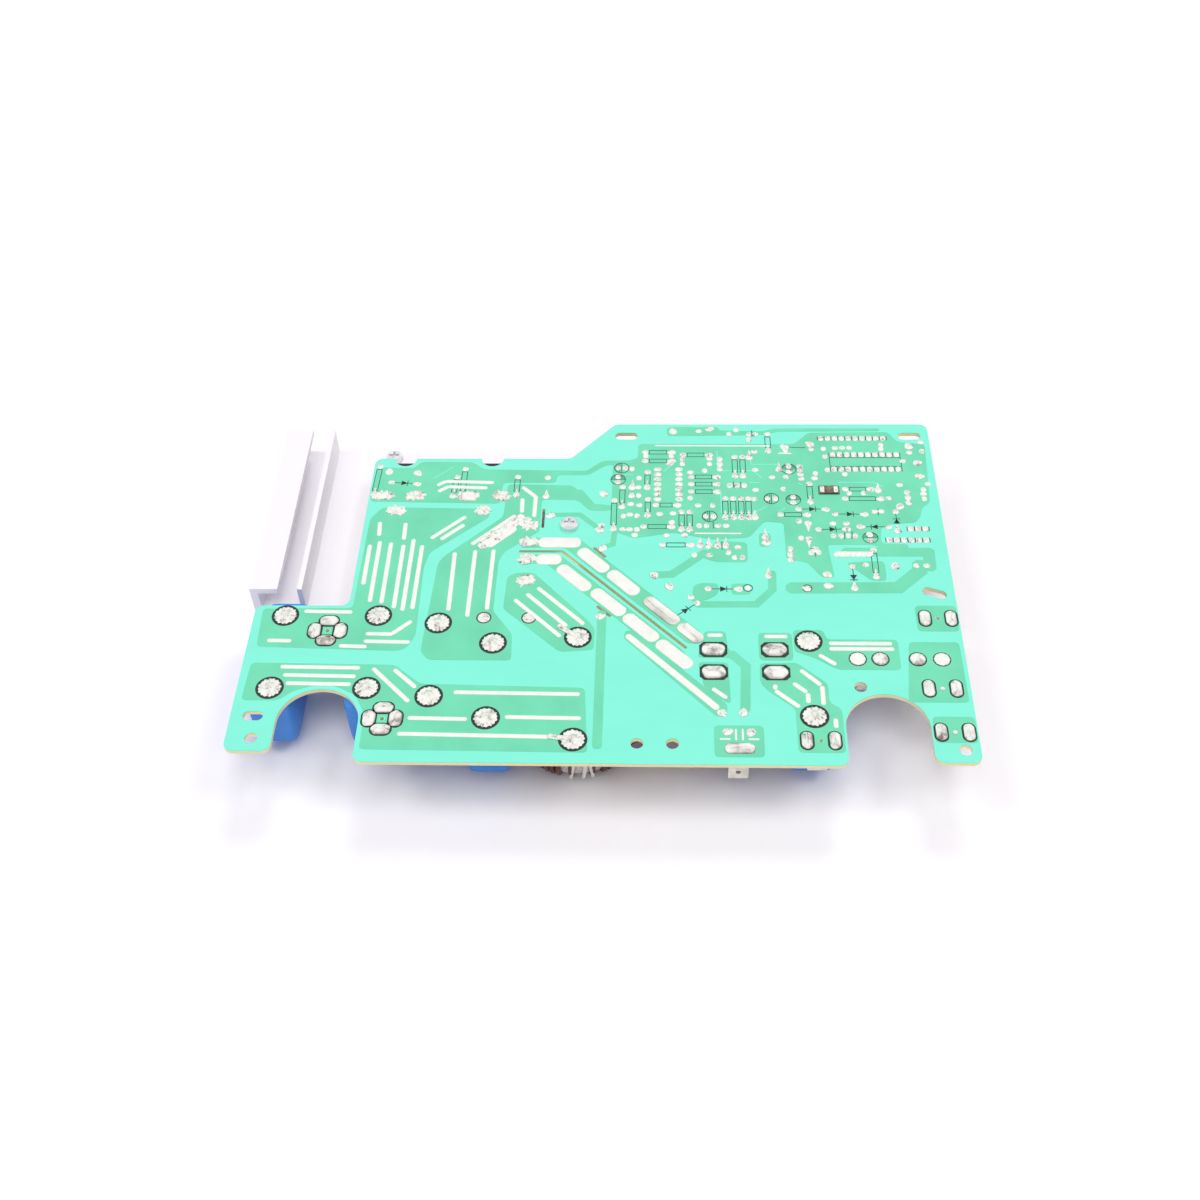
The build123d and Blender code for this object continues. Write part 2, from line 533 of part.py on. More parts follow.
with BuildPart() as signal_joints:
    with BuildSketch(level(BOARD_TOP)):
        with Locations(*SIGNAL_PLACES):
            RegularPolygon(SIGNAL_JOINT_RADIUS, LEAD_SIDES)
    extrude(amount=SIGNAL_JOINT_HEIGHT, clean=False)
PARTS["signal_joints"] = signal_joints.part

with BuildPart() as chip_resistor:
    with Locations((*spot(*SHUNT_SHARE), BOARD_TOP)):
        Box(SHUNT_LENGTH, SHUNT_WIDTH, SHUNT_THICK, align=STANDING)
PARTS["chip_resistor"] = chip_resistor.part

# Heat sink: a finned plate with a flanged side wall, a tall fin and a rail for the board screw
SINK_LEFT = BOARD_LEFT - SINK_OVERHANG
SINK_RIGHT = spot(SINK_RIGHT_SHARE, 0)[0]
CAPACITOR_BACK = max(y for x, y in FILM_PLACES) + FILM_LENGTH / 2
SINK_FRONT = max(spot(0, SINK_BACK_SHARE)[1] - SINK_LENGTH, CAPACITOR_BACK + SINK_CAPACITOR_GAP)
SINK_BACK = SINK_FRONT + SINK_LENGTH
SINK_SCREW_PLACE = (spot(SINK_SCREW_SHARE, 0)[0], SINK_BACK - SINK_SCREW_INSET)
SINK_TOP = BOARD_TOP - SINK_TOP_DROP
PLATE_TOP = BOARD_TOP - PLATE_DROP
SINK_WIDTH = SINK_RIGHT - SINK_LEFT
RISE = (Align.MIN, Align.MIN)


def block(left, bottom, width, height):
    """One rectangle of the heat sink's profile, from its lower left corner."""
    with Locations((left, bottom)):
        Rectangle(width, height, align=RISE)


with BuildPart() as heat_sink:
    with BuildSketch(Plane.XZ.offset(-SINK_BACK)):
        block(SINK_LEFT, PLATE_TOP - PLATE_THICK, SINK_WIDTH, PLATE_THICK)
        block(SINK_LEFT, 0, SIDE_WALL_THICK, SINK_TOP)
        block(SINK_LEFT, SINK_TOP - FLANGE_THICK, FLANGE_WIDTH, FLANGE_THICK)
        block(SINK_LEFT + TALL_FIN_OFFSET, PLATE_TOP, TALL_FIN_THICK, SINK_TOP - PLATE_TOP)
        for i in range(1, FIN_COUNT + 1):
            fin_left = SINK_LEFT + i * (SINK_WIDTH - FIN_THICK) / FIN_COUNT
            block(fin_left, 0, FIN_THICK, PLATE_TOP - PLATE_THICK)
    extrude(amount=SINK_LENGTH)
    with BuildSketch(Plane.XZ.offset(-SINK_FRONT)):
        block(SINK_RIGHT - RAIL_WIDTH, PLATE_TOP, RAIL_WIDTH, BOARD_BASE - PLATE_TOP)
    extrude(amount=-RAIL_LENGTH)
    package_screws_at = [(spot(s, 0)[0], spot(0, PACKAGE_SCREW_SHARE)[1]) for s in PACKAGE_SHARES]
    with BuildSketch(level(PLATE_TOP)):
        with Locations(*package_screws_at, SINK_SCREW_PLACE):
            Circle(SCREW_SHANK_RADIUS + FIT_GAP)
    extrude(amount=-PLATE_THICK, mode=Mode.SUBTRACT)
    with BuildSketch(level(BOARD_BASE)):
        with Locations(spot(*BOARD_SCREW_SHARE)):
            Circle(SCREW_SHANK_RADIUS + FIT_GAP)
    extrude(amount=-SCREW_LENGTH, mode=Mode.SUBTRACT)
PARTS["heat_sink"] = heat_sink.part


def screw(place, seat, length):
    """A pan-head screw with a cross recess, its head standing on a seat."""
    with BuildPart() as body:
        with BuildSketch(level(seat)):
            with Locations(place):
                Circle(SCREW_HEAD_RADIUS)
        extrude(amount=SCREW_HEAD_HEIGHT)
        chamfer(body.edges().group_by(Axis.Z)[-1], SCREW_HEAD_HEIGHT / 3)
        with BuildSketch(level(seat + SCREW_HEAD_HEIGHT)):
            with Locations(place):
                Rectangle(CROSS_LENGTH, CROSS_WIDTH)
                Rectangle(CROSS_WIDTH, CROSS_LENGTH)
        extrude(amount=-CROSS_DEPTH, mode=Mode.SUBTRACT)
        with BuildSketch(level(seat)):
            with Locations(place):
                Circle(SCREW_SHANK_RADIUS)
        extrude(amount=-length)
    return body.part


def power_transistor(share, front, screw_place):
    """A flat power package with a screw hole, three pins bent up through the board."""
    middle = spot(share, 0)[0]
    pin_base = PLATE_TOP + PIN_LIFT
    with BuildPart() as body:
        with Locations((middle, front, PLATE_TOP)):
            Box(PACKAGE_WIDTH, PACKAGE_LENGTH, PACKAGE_THICK, align=REACHING_FRONT)
        with BuildSketch(level(PLATE_TOP)):
            with Locations(screw_place):
                Circle(SCREW_SHANK_RADIUS + FIT_GAP)
        extrude(amount=PACKAGE_THICK, mode=Mode.SUBTRACT)
        for x, y in package_pins(share):
            with Locations((x, y - PIN_WIDTH / 2, pin_base)):
                Box(PIN_WIDTH, front - y + PIN_WIDTH / 2, PIN_THICK, align=REACHING_FRONT)
            with Locations((x, y, pin_base)):
                Box(PIN_WIDTH, PIN_WIDTH, BOARD_TOP - pin_base, align=STANDING)
    return body.part


package_names = ("power_transistor_left", "power_transistor_right")
for name, share, place, screw_place in zip(package_names, PACKAGE_SHARES, PACKAGE_PLACES, package_screws_at):
    PARTS[name] = power_transistor(share, place[1], screw_place)
screw_names = ("package_screw_left", "package_screw_right")
for name, screw_place in zip(screw_names, package_screws_at):
    PARTS[name] = screw(screw_place, PLATE_TOP + PACKAGE_THICK, PACKAGE_THICK + PLATE_THICK)
PARTS["board_screw"] = screw(spot(*BOARD_SCREW_SHARE), BOARD_TOP, SCREW_LENGTH)
PARTS["sink_screw"] = screw(SINK_SCREW_PLACE, PLATE_TOP, PLATE_THICK)

# Bridge rectifier lying on the heat sink plate, its pins bent up
with BuildPart() as bridge_rectifier:
    bridge_middle = (BRIDGE_PINS[0][1] + BRIDGE_PINS[-1][1]) / 2
    bridge_right = BRIDGE_PINS[0][0] - BRIDGE_REACH
    with Locations((bridge_right, bridge_middle, PLATE_TOP)):
        Box(BRIDGE_DEPTH, BRIDGE_LENGTH, BRIDGE_THICK, align=(Align.MAX, Align.CENTER, Align.MIN))
    for x, y in BRIDGE_PINS:
        with Locations((bridge_right, y, PLATE_TOP + PIN_LIFT)):
            Box(BRIDGE_REACH + PIN_WIDTH / 2, PIN_WIDTH, PIN_THICK, align=REACHING_SIDE)
        with Locations((x, y, PLATE_TOP + PIN_LIFT)):
            Box(PIN_WIDTH, PIN_WIDTH, BOARD_TOP - PLATE_TOP - PIN_LIFT, align=STANDING)
PARTS["bridge_rectifier"] = bridge_rectifier.part


def film_capacitor(place):
    """A moulded box capacitor hanging below the board on two leads."""
    with BuildPart() as body:
        with BuildSketch(level(BOARD_BASE)):
            with Locations(place):
                RectangleRounded(FILM_WIDTH, FILM_LENGTH, FILM_ROUND)
        extrude(amount=-FILM_HEIGHT)
        with BuildSketch(level(BOARD_BASE)):
            with Locations(*film_leads(place)):
                RegularPolygon(LEAD_RADIUS, LEAD_SIDES)
        extrude(amount=BOARD_THICK)
    return body.part


film_names = [f"coil_capacitor_{i + 1}" for i in range(len(FILM_SHARES))] + ["mains_capacitor"]
for name, place in zip(film_names, FILM_PLACES):
    PARTS[name] = film_capacitor(place)

# Ring choke: a core inside a wound shell, with two leads at its sides
CHOKE_TOP = BOARD_BASE - CHOKE_STANDOFF
CHOKE_BOTTOM = CHOKE_TOP - CHOKE_HEIGHT


def ring(inner, outer, bottom, height, mode):
    """A flat ring around the choke's axis."""
    with BuildSketch(level(bottom)) as face:
        with Locations(CHOKE_PLACE):
            Circle(outer)
            Circle(inner, mode=Mode.SUBTRACT)
    extrude(face.sketch, amount=height, mode=mode)


CORE_INNER = CHOKE_INNER_RADIUS + WINDING_THICK
CORE_OUTER = CHOKE_OUTER_RADIUS - WINDING_THICK
CORE_HEIGHT = CHOKE_HEIGHT - WINDING_THICK * 2
with BuildPart() as choke_core:
    ring(CORE_INNER, CORE_OUTER, CHOKE_BOTTOM + WINDING_THICK, CORE_HEIGHT, Mode.ADD)
PARTS["choke_core"] = choke_core.part

with BuildPart() as choke_winding:
    ring(CHOKE_INNER_RADIUS, CHOKE_OUTER_RADIUS, CHOKE_BOTTOM, CHOKE_HEIGHT, Mode.ADD)
    ring(CORE_INNER, CORE_OUTER, CHOKE_BOTTOM + WINDING_THICK, CORE_HEIGHT, Mode.SUBTRACT)
    for side in (-1, 1):
        with BuildSketch(level(CHOKE_BOTTOM + CHOKE_HEIGHT / 2)):
            with Locations((CHOKE_PLACE[0], CHOKE_PLACE[1] + side * CHOKE_LEAD_REACH)):
                RegularPolygon(LEAD_RADIUS, LEAD_SIDES)
            with Locations((CHOKE_PLACE[0], CHOKE_PLACE[1] + side * CHOKE_OUTER_RADIUS)):
                Rectangle(LEAD_RADIUS, LEAD_RADIUS)
        extrude(amount=BOARD_TOP - CHOKE_BOTTOM - CHOKE_HEIGHT / 2 - BOARD_THICK)
        with BuildSketch(level(BOARD_BASE)):
            with Locations((CHOKE_PLACE[0], CHOKE_PLACE[1] + side * CHOKE_LEAD_REACH)):
                RegularPolygon(LEAD_RADIUS, LEAD_SIDES)
        extrude(amount=BOARD_THICK)
PARTS["choke_winding"] = choke_winding.part


def spade_tab(place, legs):
    """A blade pointing down from a shoulder, with legs up through the board."""
    x, y = place
    with BuildPart() as body:
        with BuildSketch(Plane.XZ.offset(-y - TAB_THICK / 2)):
            block(x - TAB_WIDTH / 2, BOARD_BASE - TAB_DROP, TAB_WIDTH, TAB_DROP)
            shoulder = TAB_LEG_SPAN + PIN_WIDTH
            block(x - shoulder / 2, BOARD_BASE - TAB_SHOULDER, shoulder, TAB_SHOULDER)
            for leg_x, leg_y in legs:
                block(leg_x - PIN_WIDTH / 2, BOARD_BASE, PIN_WIDTH, BOARD_THICK)
            with Locations((x, BOARD_BASE - TAB_DROP + TAB_HOLE_RISE)):
                Circle(TAB_HOLE_RADIUS, mode=Mode.SUBTRACT)
        extrude(amount=TAB_THICK)
    return body.part


tab_names = ("spade_tab_back", "spade_tab_middle", "spade_tab_corner", "spade_tab_inner")
for name, place in zip(tab_names, TAB_PLACES):
    PARTS[name] = spade_tab(place, tab_legs(place))
PARTS["spade_tab_front"] = spade_tab(FRONT_TAB_PLACE, [FRONT_TAB_PLACE])


def coil_terminal(place):
    """A square metal cup with a threaded hole in its floor and four legs up through the board."""
    with BuildPart() as body:
        with BuildSketch(level(BOARD_BASE - TERMINAL_DROP)):
            with Locations(place):
                Rectangle(TERMINAL_SIZE, TERMINAL_SIZE)
        extrude(amount=TERMINAL_DROP)
        inside = TERMINAL_SIZE - TERMINAL_WALL * 2
        with BuildSketch(level(BOARD_BASE - TERMINAL_DROP + TERMINAL_WALL)):
            with Locations(place):
                Rectangle(inside, inside)
        extrude(amount=TERMINAL_DROP - TERMINAL_WALL, mode=Mode.SUBTRACT)
        with BuildSketch(level(BOARD_BASE - TERMINAL_DROP)):
            with Locations(place):
                Circle(TERMINAL_HOLE_RADIUS + FIT_GAP)
        extrude(amount=TERMINAL_WALL, mode=Mode.SUBTRACT)
        with BuildSketch(level(BOARD_BASE)):
            with Locations(*terminal_legs(place)):
                Rectangle(PIN_WIDTH, PIN_WIDTH)
        extrude(amount=BOARD_THICK)
    return body.part


def terminal_screw(place):
    """The coil screw below a terminal, its head hanging down."""
    seat = BOARD_BASE - TERMINAL_DROP
    with BuildPart() as body:
        with BuildSketch(level(seat)):
            with Locations(place):
                Circle(TERMINAL_SCREW_RADIUS)
        extrude(amount=-SCREW_HEAD_HEIGHT)
        with BuildSketch(level(seat)):
            with Locations(place):
                Circle(TERMINAL_HOLE_RADIUS)
        extrude(amount=TERMINAL_DROP / 2)
    return body.part


terminal_names = ("coil_terminal_back", "coil_terminal_front")
terminal_screw_names = ("coil_screw_back", "coil_screw_front")
for name, screw_name, place in zip(terminal_names, terminal_screw_names, TERMINAL_PLACES):
    PARTS[name] = coil_terminal(place)
    PARTS[screw_name] = terminal_screw(place)

# Glass fuse in two spring clips
FUSE_AXIS = BOARD_BASE - FUSE_DROP
FUSE_MIDDLE = middle_of(FUSE_PLACES[0], FUSE_PLACES[-1])
with BuildPart() as fuse:
    with BuildSketch(Plane.YZ.offset(FUSE_MIDDLE[0] - FUSE_LENGTH / 2)):
        with Locations((FUSE_MIDDLE[1], FUSE_AXIS)):
            Circle(FUSE_RADIUS)
    extrude(amount=FUSE_LENGTH)
PARTS["fuse"] = fuse.part


def fuse_clip(first, second):
    """A clip with two side springs that hold the fuse's end, on two pins."""
    middle = middle_of(first, second)
    spring = FUSE_DROP + FUSE_RADIUS
    with BuildPart() as body:
        with Locations((middle[0], middle[1], BOARD_BASE)):
            Box(CLIP_WIDTH, FUSE_RADIUS * 2 + CLIP_THICK * 2, CLIP_THICK, align=HANGING)
        for side in (-1, 1):
            with Locations((middle[0], middle[1] + side * (FUSE_RADIUS + CLIP_THICK / 2), BOARD_BASE)):
                Box(CLIP_WIDTH - HOLE_RADIUS * 2, CLIP_THICK, spring, align=HANGING)
        with BuildSketch(level(BOARD_BASE)):
            with Locations(first, second):
                RegularPolygon(LEAD_RADIUS, LEAD_SIDES)
        extrude(amount=BOARD_THICK)
    return body.part


PARTS["fuse_clip_left"] = fuse_clip(FUSE_PLACES[0], FUSE_PLACES[1])
PARTS["fuse_clip_right"] = fuse_clip(FUSE_PLACES[2], FUSE_PLACES[3])

# Varistor disc on two leads
with BuildPart() as varistor:
    varistor_middle = middle_of(*VARISTOR_PLACES)
    with BuildSketch(Plane.XZ.offset(-varistor_middle[1] - VARISTOR_THICK / 2)):
        with Locations((varistor_middle[0], BOARD_BASE - VARISTOR_DROP - VARISTOR_RADIUS)):
            Circle(VARISTOR_RADIUS)
    extrude(amount=VARISTOR_THICK)
    with BuildSketch(level(BOARD_BASE - VARISTOR_DROP - VARISTOR_RADIUS)):
        with Locations(*VARISTOR_PLACES):
            RegularPolygon(LEAD_RADIUS, LEAD_SIDES)
    extrude(amount=BOARD_THICK + VARISTOR_DROP + VARISTOR_RADIUS)
PARTS["varistor"] = varistor.part

# Filter choke: base plate, closed core, two coils around its long legs
FILTER_BASE_BOTTOM = BOARD_BASE - FILTER_BASE_THICK
FILTER_CORE_HEIGHT = FILTER_BASE_BOTTOM
with BuildPart() as filter_base:
    with BuildSketch(level(BOARD_BASE)):
        with Locations(FILTER_PLACE):
            Rectangle(FILTER_BASE_LENGTH, FILTER_BASE_WIDTH)
    extrude(amount=-FILTER_BASE_THICK)
    with BuildSketch(level(BOARD_BASE)):
        with Locations(*FILTER_PLACES):
            RegularPolygon(LEAD_RADIUS, LEAD_SIDES)
    extrude(amount=BOARD_THICK)
PARTS["filter_base"] = filter_base.part

FILTER_WINDOW_LENGTH = FILTER_CORE_LENGTH - FILTER_CORE_LEG * 2
FILTER_WINDOW_HEIGHT = FILTER_CORE_HEIGHT - FILTER_CORE_LEG * 2
with BuildPart() as filter_core:
    with BuildSketch(Plane.YZ.offset(FILTER_PLACE[0] - FILTER_CORE_WIDTH / 2)):
        block(FILTER_PLACE[1] - FILTER_CORE_LENGTH / 2, 0, FILTER_CORE_LENGTH, FILTER_CORE_HEIGHT)
        with Locations((FILTER_PLACE[1], FILTER_CORE_HEIGHT / 2)):
            Rectangle(FILTER_WINDOW_LENGTH, FILTER_WINDOW_HEIGHT, mode=Mode.SUBTRACT)
    extrude(amount=FILTER_CORE_WIDTH)
PARTS["filter_core"] = filter_core.part


def filter_coil(side):
    """One coil around an upright leg of the filter core."""
    leg = (FILTER_PLACE[0], FILTER_PLACE[1] + side * (FILTER_CORE_LENGTH - FILTER_CORE_LEG) / 2)
    inside = (FILTER_CORE_WIDTH + FIT_GAP * 2, FILTER_CORE_LEG + FIT_GAP * 2)
    with BuildPart() as body:
        with BuildSketch(level(FILTER_CORE_LEG)):
            with Locations(leg):
                RectangleRounded(*[size + FILTER_COIL_THICK * 2 for size in inside], FILTER_COIL_ROUND)
                Rectangle(*inside, mode=Mode.SUBTRACT)
        extrude(amount=FILTER_WINDOW_HEIGHT)
    return body.part


PARTS["filter_coil_front"] = filter_coil(-1)
PARTS["filter_coil_back"] = filter_coil(1)

# Supply transformer: bobbin with pins, and a core around it
TRANSFORMER_PLACE = spot(*TRANSFORMER_SHARE)
TRANSFORMER_BOTTOM = BOARD_BASE - TRANSFORMER_DROP
TRANSFORMER_INSIDE = TRANSFORMER_LENGTH - TRANSFORMER_LEG * 2
with BuildPart() as transformer_core:
    with BuildSketch(Plane.XZ.offset(-TRANSFORMER_PLACE[1] - TRANSFORMER_CORE_WIDTH / 2)):
        core_height = TRANSFORMER_DROP - TRANSFORMER_BASE_THICK
        core_left = TRANSFORMER_PLACE[0] - TRANSFORMER_LENGTH / 2
        block(core_left, TRANSFORMER_BOTTOM, TRANSFORMER_LENGTH, core_height)
        with Locations((TRANSFORMER_PLACE[0], TRANSFORMER_BOTTOM + core_height / 2)):
            Rectangle(TRANSFORMER_INSIDE, core_height - TRANSFORMER_LEG, mode=Mode.SUBTRACT)
    extrude(amount=TRANSFORMER_CORE_WIDTH)
PARTS["transformer_core"] = transformer_core.part

with BuildPart() as transformer_base:
    with BuildSketch(level(BOARD_BASE)):
        with Locations(TRANSFORMER_PLACE):
            Rectangle(TRANSFORMER_LENGTH, TRANSFORMER_WIDTH)
    extrude(amount=-TRANSFORMER_BASE_THICK)
PARTS["transformer_base"] = transformer_base.part

with BuildPart() as transformer_winding:
    winding_height = TRANSFORMER_DROP - TRANSFORMER_BASE_THICK - TRANSFORMER_LEG
    with BuildSketch(level(TRANSFORMER_BOTTOM + TRANSFORMER_LEG / 2)):
        with Locations(TRANSFORMER_PLACE):
            Rectangle(TRANSFORMER_INSIDE - FIT_GAP * 2, TRANSFORMER_WIDTH)
    extrude(amount=winding_height)
PARTS["transformer_winding"] = transformer_winding.part


def shortened(ends, cut):
    """The same pairs of places, each drawn in by a cut at both ends."""
    pairs = []
    for start, end in ends:
        step = (Vector(*end) - Vector(*start)).normalized() * cut
        pairs.append(((start[0] + step.X, start[1] + step.Y), (end[0] - step.X, end[1] - step.Y)))
    return pairs


def axial_parts(ends, radius):
    """Bodies lying below the board between two leads, one for each pair of ends."""
    with BuildPart() as body:
        with BuildSketch(level(BOARD_BASE)):
            with Locations(*[pin for pair in ends for pin in pair]):
                Rectangle(LEAD_WIDTH, LEAD_WIDTH)
        extrude(amount=-AXIAL_DROP, clean=False)
        with BuildSketch(level(BOARD_BASE - AXIAL_DROP)):
            bars(ends, LEAD_WIDTH)
        extrude(amount=LEAD_WIDTH, clean=False)
        with BuildSketch(level(BOARD_BASE - AXIAL_DROP - radius)):
            bars(shortened(ends, radius), radius * 2)
        extrude(amount=radius * 2, clean=False)
    return body.part


PARTS["resistors"] = axial_parts(RESISTOR_ENDS, AXIAL_RADIUS)
PARTS["diodes"] = axial_parts(DIODE_ENDS, AXIAL_RADIUS)

# Small upright parts
with BuildPart() as electrolytic_capacitors:
    with BuildSketch(level(BOARD_BASE)):
        with Locations(*RADIAL_PLACES):
            Circle(RADIAL_RADIUS)
    extrude(amount=-RADIAL_DROP)
PARTS["electrolytic_capacitors"] = electrolytic_capacitors.part

with BuildPart() as transistors:
    for place in TRANSISTOR_PLACES:
        with Locations((*place, BOARD_BASE)):
            Box(TRANSISTOR_WIDTH, TRANSISTOR_DEPTH, TRANSISTOR_DROP, align=HANGING)
PARTS["transistors"] = transistors.part


def chip(place, pins, count, turned):
    """A chip body below the board with two rows of pins."""
    length = count * CHIP_PITCH
    size = (CHIP_BODY_WIDTH, length) if turned else (length, CHIP_BODY_WIDTH)
    shoulder = (CHIP_ROWS_APART, LEAD_WIDTH) if turned else (LEAD_WIDTH, CHIP_ROWS_APART)
    with BuildPart() as body:
        with Locations((*place, BOARD_BASE - CHIP_STANDOFF)):
            Box(*size, CHIP_BODY_HEIGHT, align=HANGING)
        with Locations(*[(x, y, BOARD_BASE) for x, y in pins]):
            Box(LEAD_WIDTH, LEAD_WIDTH, CHIP_STANDOFF + CHIP_BODY_HEIGHT / 2, align=HANGING)
        row = row_of((0, 0), count, CHIP_PITCH)
        rungs = [(place[0], place[1] + x) if turned else (place[0] + x, place[1]) for x, y in row]
        with Locations(*[(x, y, BOARD_BASE - CHIP_STANDOFF - CHIP_BODY_HEIGHT / 2) for x, y in rungs]):
            Box(*shoulder, LEAD_WIDTH, align=STANDING)
    return body.part


PARTS["controller_chip"] = chip(CONTROLLER_PLACE, CONTROLLER_PLACES, CONTROLLER_PINS, False)
PARTS["comparator_chip"] = chip(COMPARATOR_PLACE, COMPARATOR_PLACES, COMPARATOR_PINS, True)


def header(places):
    """An open pin housing pointing down, with its row of square pins."""
    middle = middle_of(places[0], places[-1])
    length = HEADER_PITCH * len(places)
    with BuildPart() as body:
        with Locations((*middle, BOARD_BASE)):
            Box(length, HEADER_DEPTH, HEADER_DROP, align=HANGING)
        with Locations((*middle, BOARD_BASE - HEADER_DROP)):
            Box(
                length - HEADER_WALL * 2, HEADER_DEPTH - HEADER_WALL * 2, HEADER_DROP - HEADER_WALL,
                align=STANDING, mode=Mode.SUBTRACT,
            )
        with Locations(*[(x, y, BOARD_BASE) for x, y in places]):
            Box(LEAD_WIDTH, LEAD_WIDTH, HEADER_DROP, align=HANGING)
    return body.part


PARTS["panel_connector"] = header(PANEL_PLACES)
PARTS["sensor_connector"] = header(SENSOR_PLACES)
PARTS["fan_connector"] = header(FAN_PLACES)

# One file for each piece
os.makedirs("parts", exist_ok=True)
for name, piece in PARTS.items():
    piece.label = name
    export_step(piece, f"parts/{name}.step")
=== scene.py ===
import math

import bpy
import numpy as np
from bpy.props import FloatProperty, FloatVectorProperty, PointerProperty
from bpy.types import Operator, Panel, PropertyGroup
from mathutils import Matrix, Vector
from mathutils.geometry import tessellate_polygon


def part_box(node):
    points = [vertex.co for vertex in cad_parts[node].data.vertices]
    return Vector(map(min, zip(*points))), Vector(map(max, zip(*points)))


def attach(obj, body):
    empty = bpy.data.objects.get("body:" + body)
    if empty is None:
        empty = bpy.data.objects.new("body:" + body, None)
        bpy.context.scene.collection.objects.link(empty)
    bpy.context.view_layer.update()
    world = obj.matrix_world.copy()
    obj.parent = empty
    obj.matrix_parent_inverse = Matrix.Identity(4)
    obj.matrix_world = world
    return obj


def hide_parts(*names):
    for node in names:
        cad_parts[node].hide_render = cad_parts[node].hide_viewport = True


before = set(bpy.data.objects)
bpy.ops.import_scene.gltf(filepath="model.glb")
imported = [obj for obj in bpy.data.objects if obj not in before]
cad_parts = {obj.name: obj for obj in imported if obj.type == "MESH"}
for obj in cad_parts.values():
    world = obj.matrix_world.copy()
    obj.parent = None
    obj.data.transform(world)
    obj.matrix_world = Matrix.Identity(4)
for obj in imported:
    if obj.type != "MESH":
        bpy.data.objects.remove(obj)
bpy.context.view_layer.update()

bl_info = {
    "name": "Fryer main board",
    "version": (1, 0, 0),
    "blender": (4, 5, 0),
    "location": "View3D > Sidebar > Board",
    "description": "Dresses a fryer's main board, lying solder side up, with lacquer, tin, solder, ink and windings",
    "category": "Object",
}

# The frame's own sizes, in metres
MM = 0.001
BOARD_LOW, BOARD_HIGH = (np.array(corner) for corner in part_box("circuit_board"))
BOARD_SPAN = BOARD_HIGH - BOARD_LOW
TOP = float(BOARD_HIGH[2])
BASE = float(BOARD_LOW[2])

# Kinds of faces of a stack, by number, that are flat shaded
ALL, HEADS, FEET = (0, 1, 2), (1,), (2,)
# Profiles of heaps: share of the foot's radius, share of the height
FLAT = ((1.0, 0.0), (1.0, 1.0))
DOME = ((1.0, 0.0), (0.97, 0.35), (0.86, 0.68), (0.66, 0.9), (0.35, 1.0))
FILLET = ((1.0, 0.0), (0.97, 0.10), (0.80, 0.17), (0.60, 0.28), (0.42, 0.46), (0.31, 0.70), (0.25, 0.92), (0.14, 1.0))
BEAD = ((1.0, 0.0), (0.98, 0.22), (0.88, 0.48), (0.68, 0.72), (0.44, 0.90), (0.22, 1.0))
# How much a heap with a tail narrows, and how levels that would meet differ, as a share of their height
NARROWING = 0.6
LEVEL_STEP = 0.04
SPINDLE_SIDES = 12
# Corners of the copper fields, sight holes in them, and widths on the board
FIELD_CORNER = 1.6 * MM
SIGHT_RADIUS = 0.95 * MM
GAP_WIDTH = 0.4 * MM
LONG_WIDTH = 2.4 * MM
BAR_CORNER = 2.25 * MM
SPATTER_REACH = 1.75 * MM
# The ring choke's height and its bore, the string that ties it, and the filter's wire
CHOKE_HEIGHT = 21.0 * MM
CHOKE_INNER = 7.0 * MM
STRING = 0.7 * MM
FILTER_WIRE = 1.0 * MM
# Distances between leads, or from a middle to its leads, in mm
FILM_PITCH = 30.5
CHOKE_LEAD_REACH = 20.6
TERMINAL_REACH = 4.2
TAB_REACH = 4.25
RADIAL_PITCH = 2.8
CHIP_PITCH = 2.54
CHIP_ROWS_APART = 7.6
HEADER_PITCH = 2.5
# The studio: lamps by name, direction, strength and spread in degrees, and the camera solved from the photograph
WHITE = (1.0, 1.0, 1.0, 1.0)
FILL_COLOUR = (0.96, 0.87, 1.0, 1.0)
FILL_STRENGTH = 0.36
FLOOR_REACH = 4.0
SOFTBOXES = (
    ("left_softbox", (-0.55, 0.0, 0.835), 0.47, 18),
    ("right_softbox", (0.55, 0.0, 0.835), 0.47, 18),
    ("back_softbox", (0.1, 0.57, 0.82), 0.55, 16),
    ("front_softbox", (0.0, -0.37, 0.93), 1.12, 36),
)
LENS = 45.66
CAMERA_PLACE = (0.0203, -0.34655, 0.4024)
CAMERA_TURNS = ((3.297, "Z"), (41.78, "X"), (-2.211, "Z"))

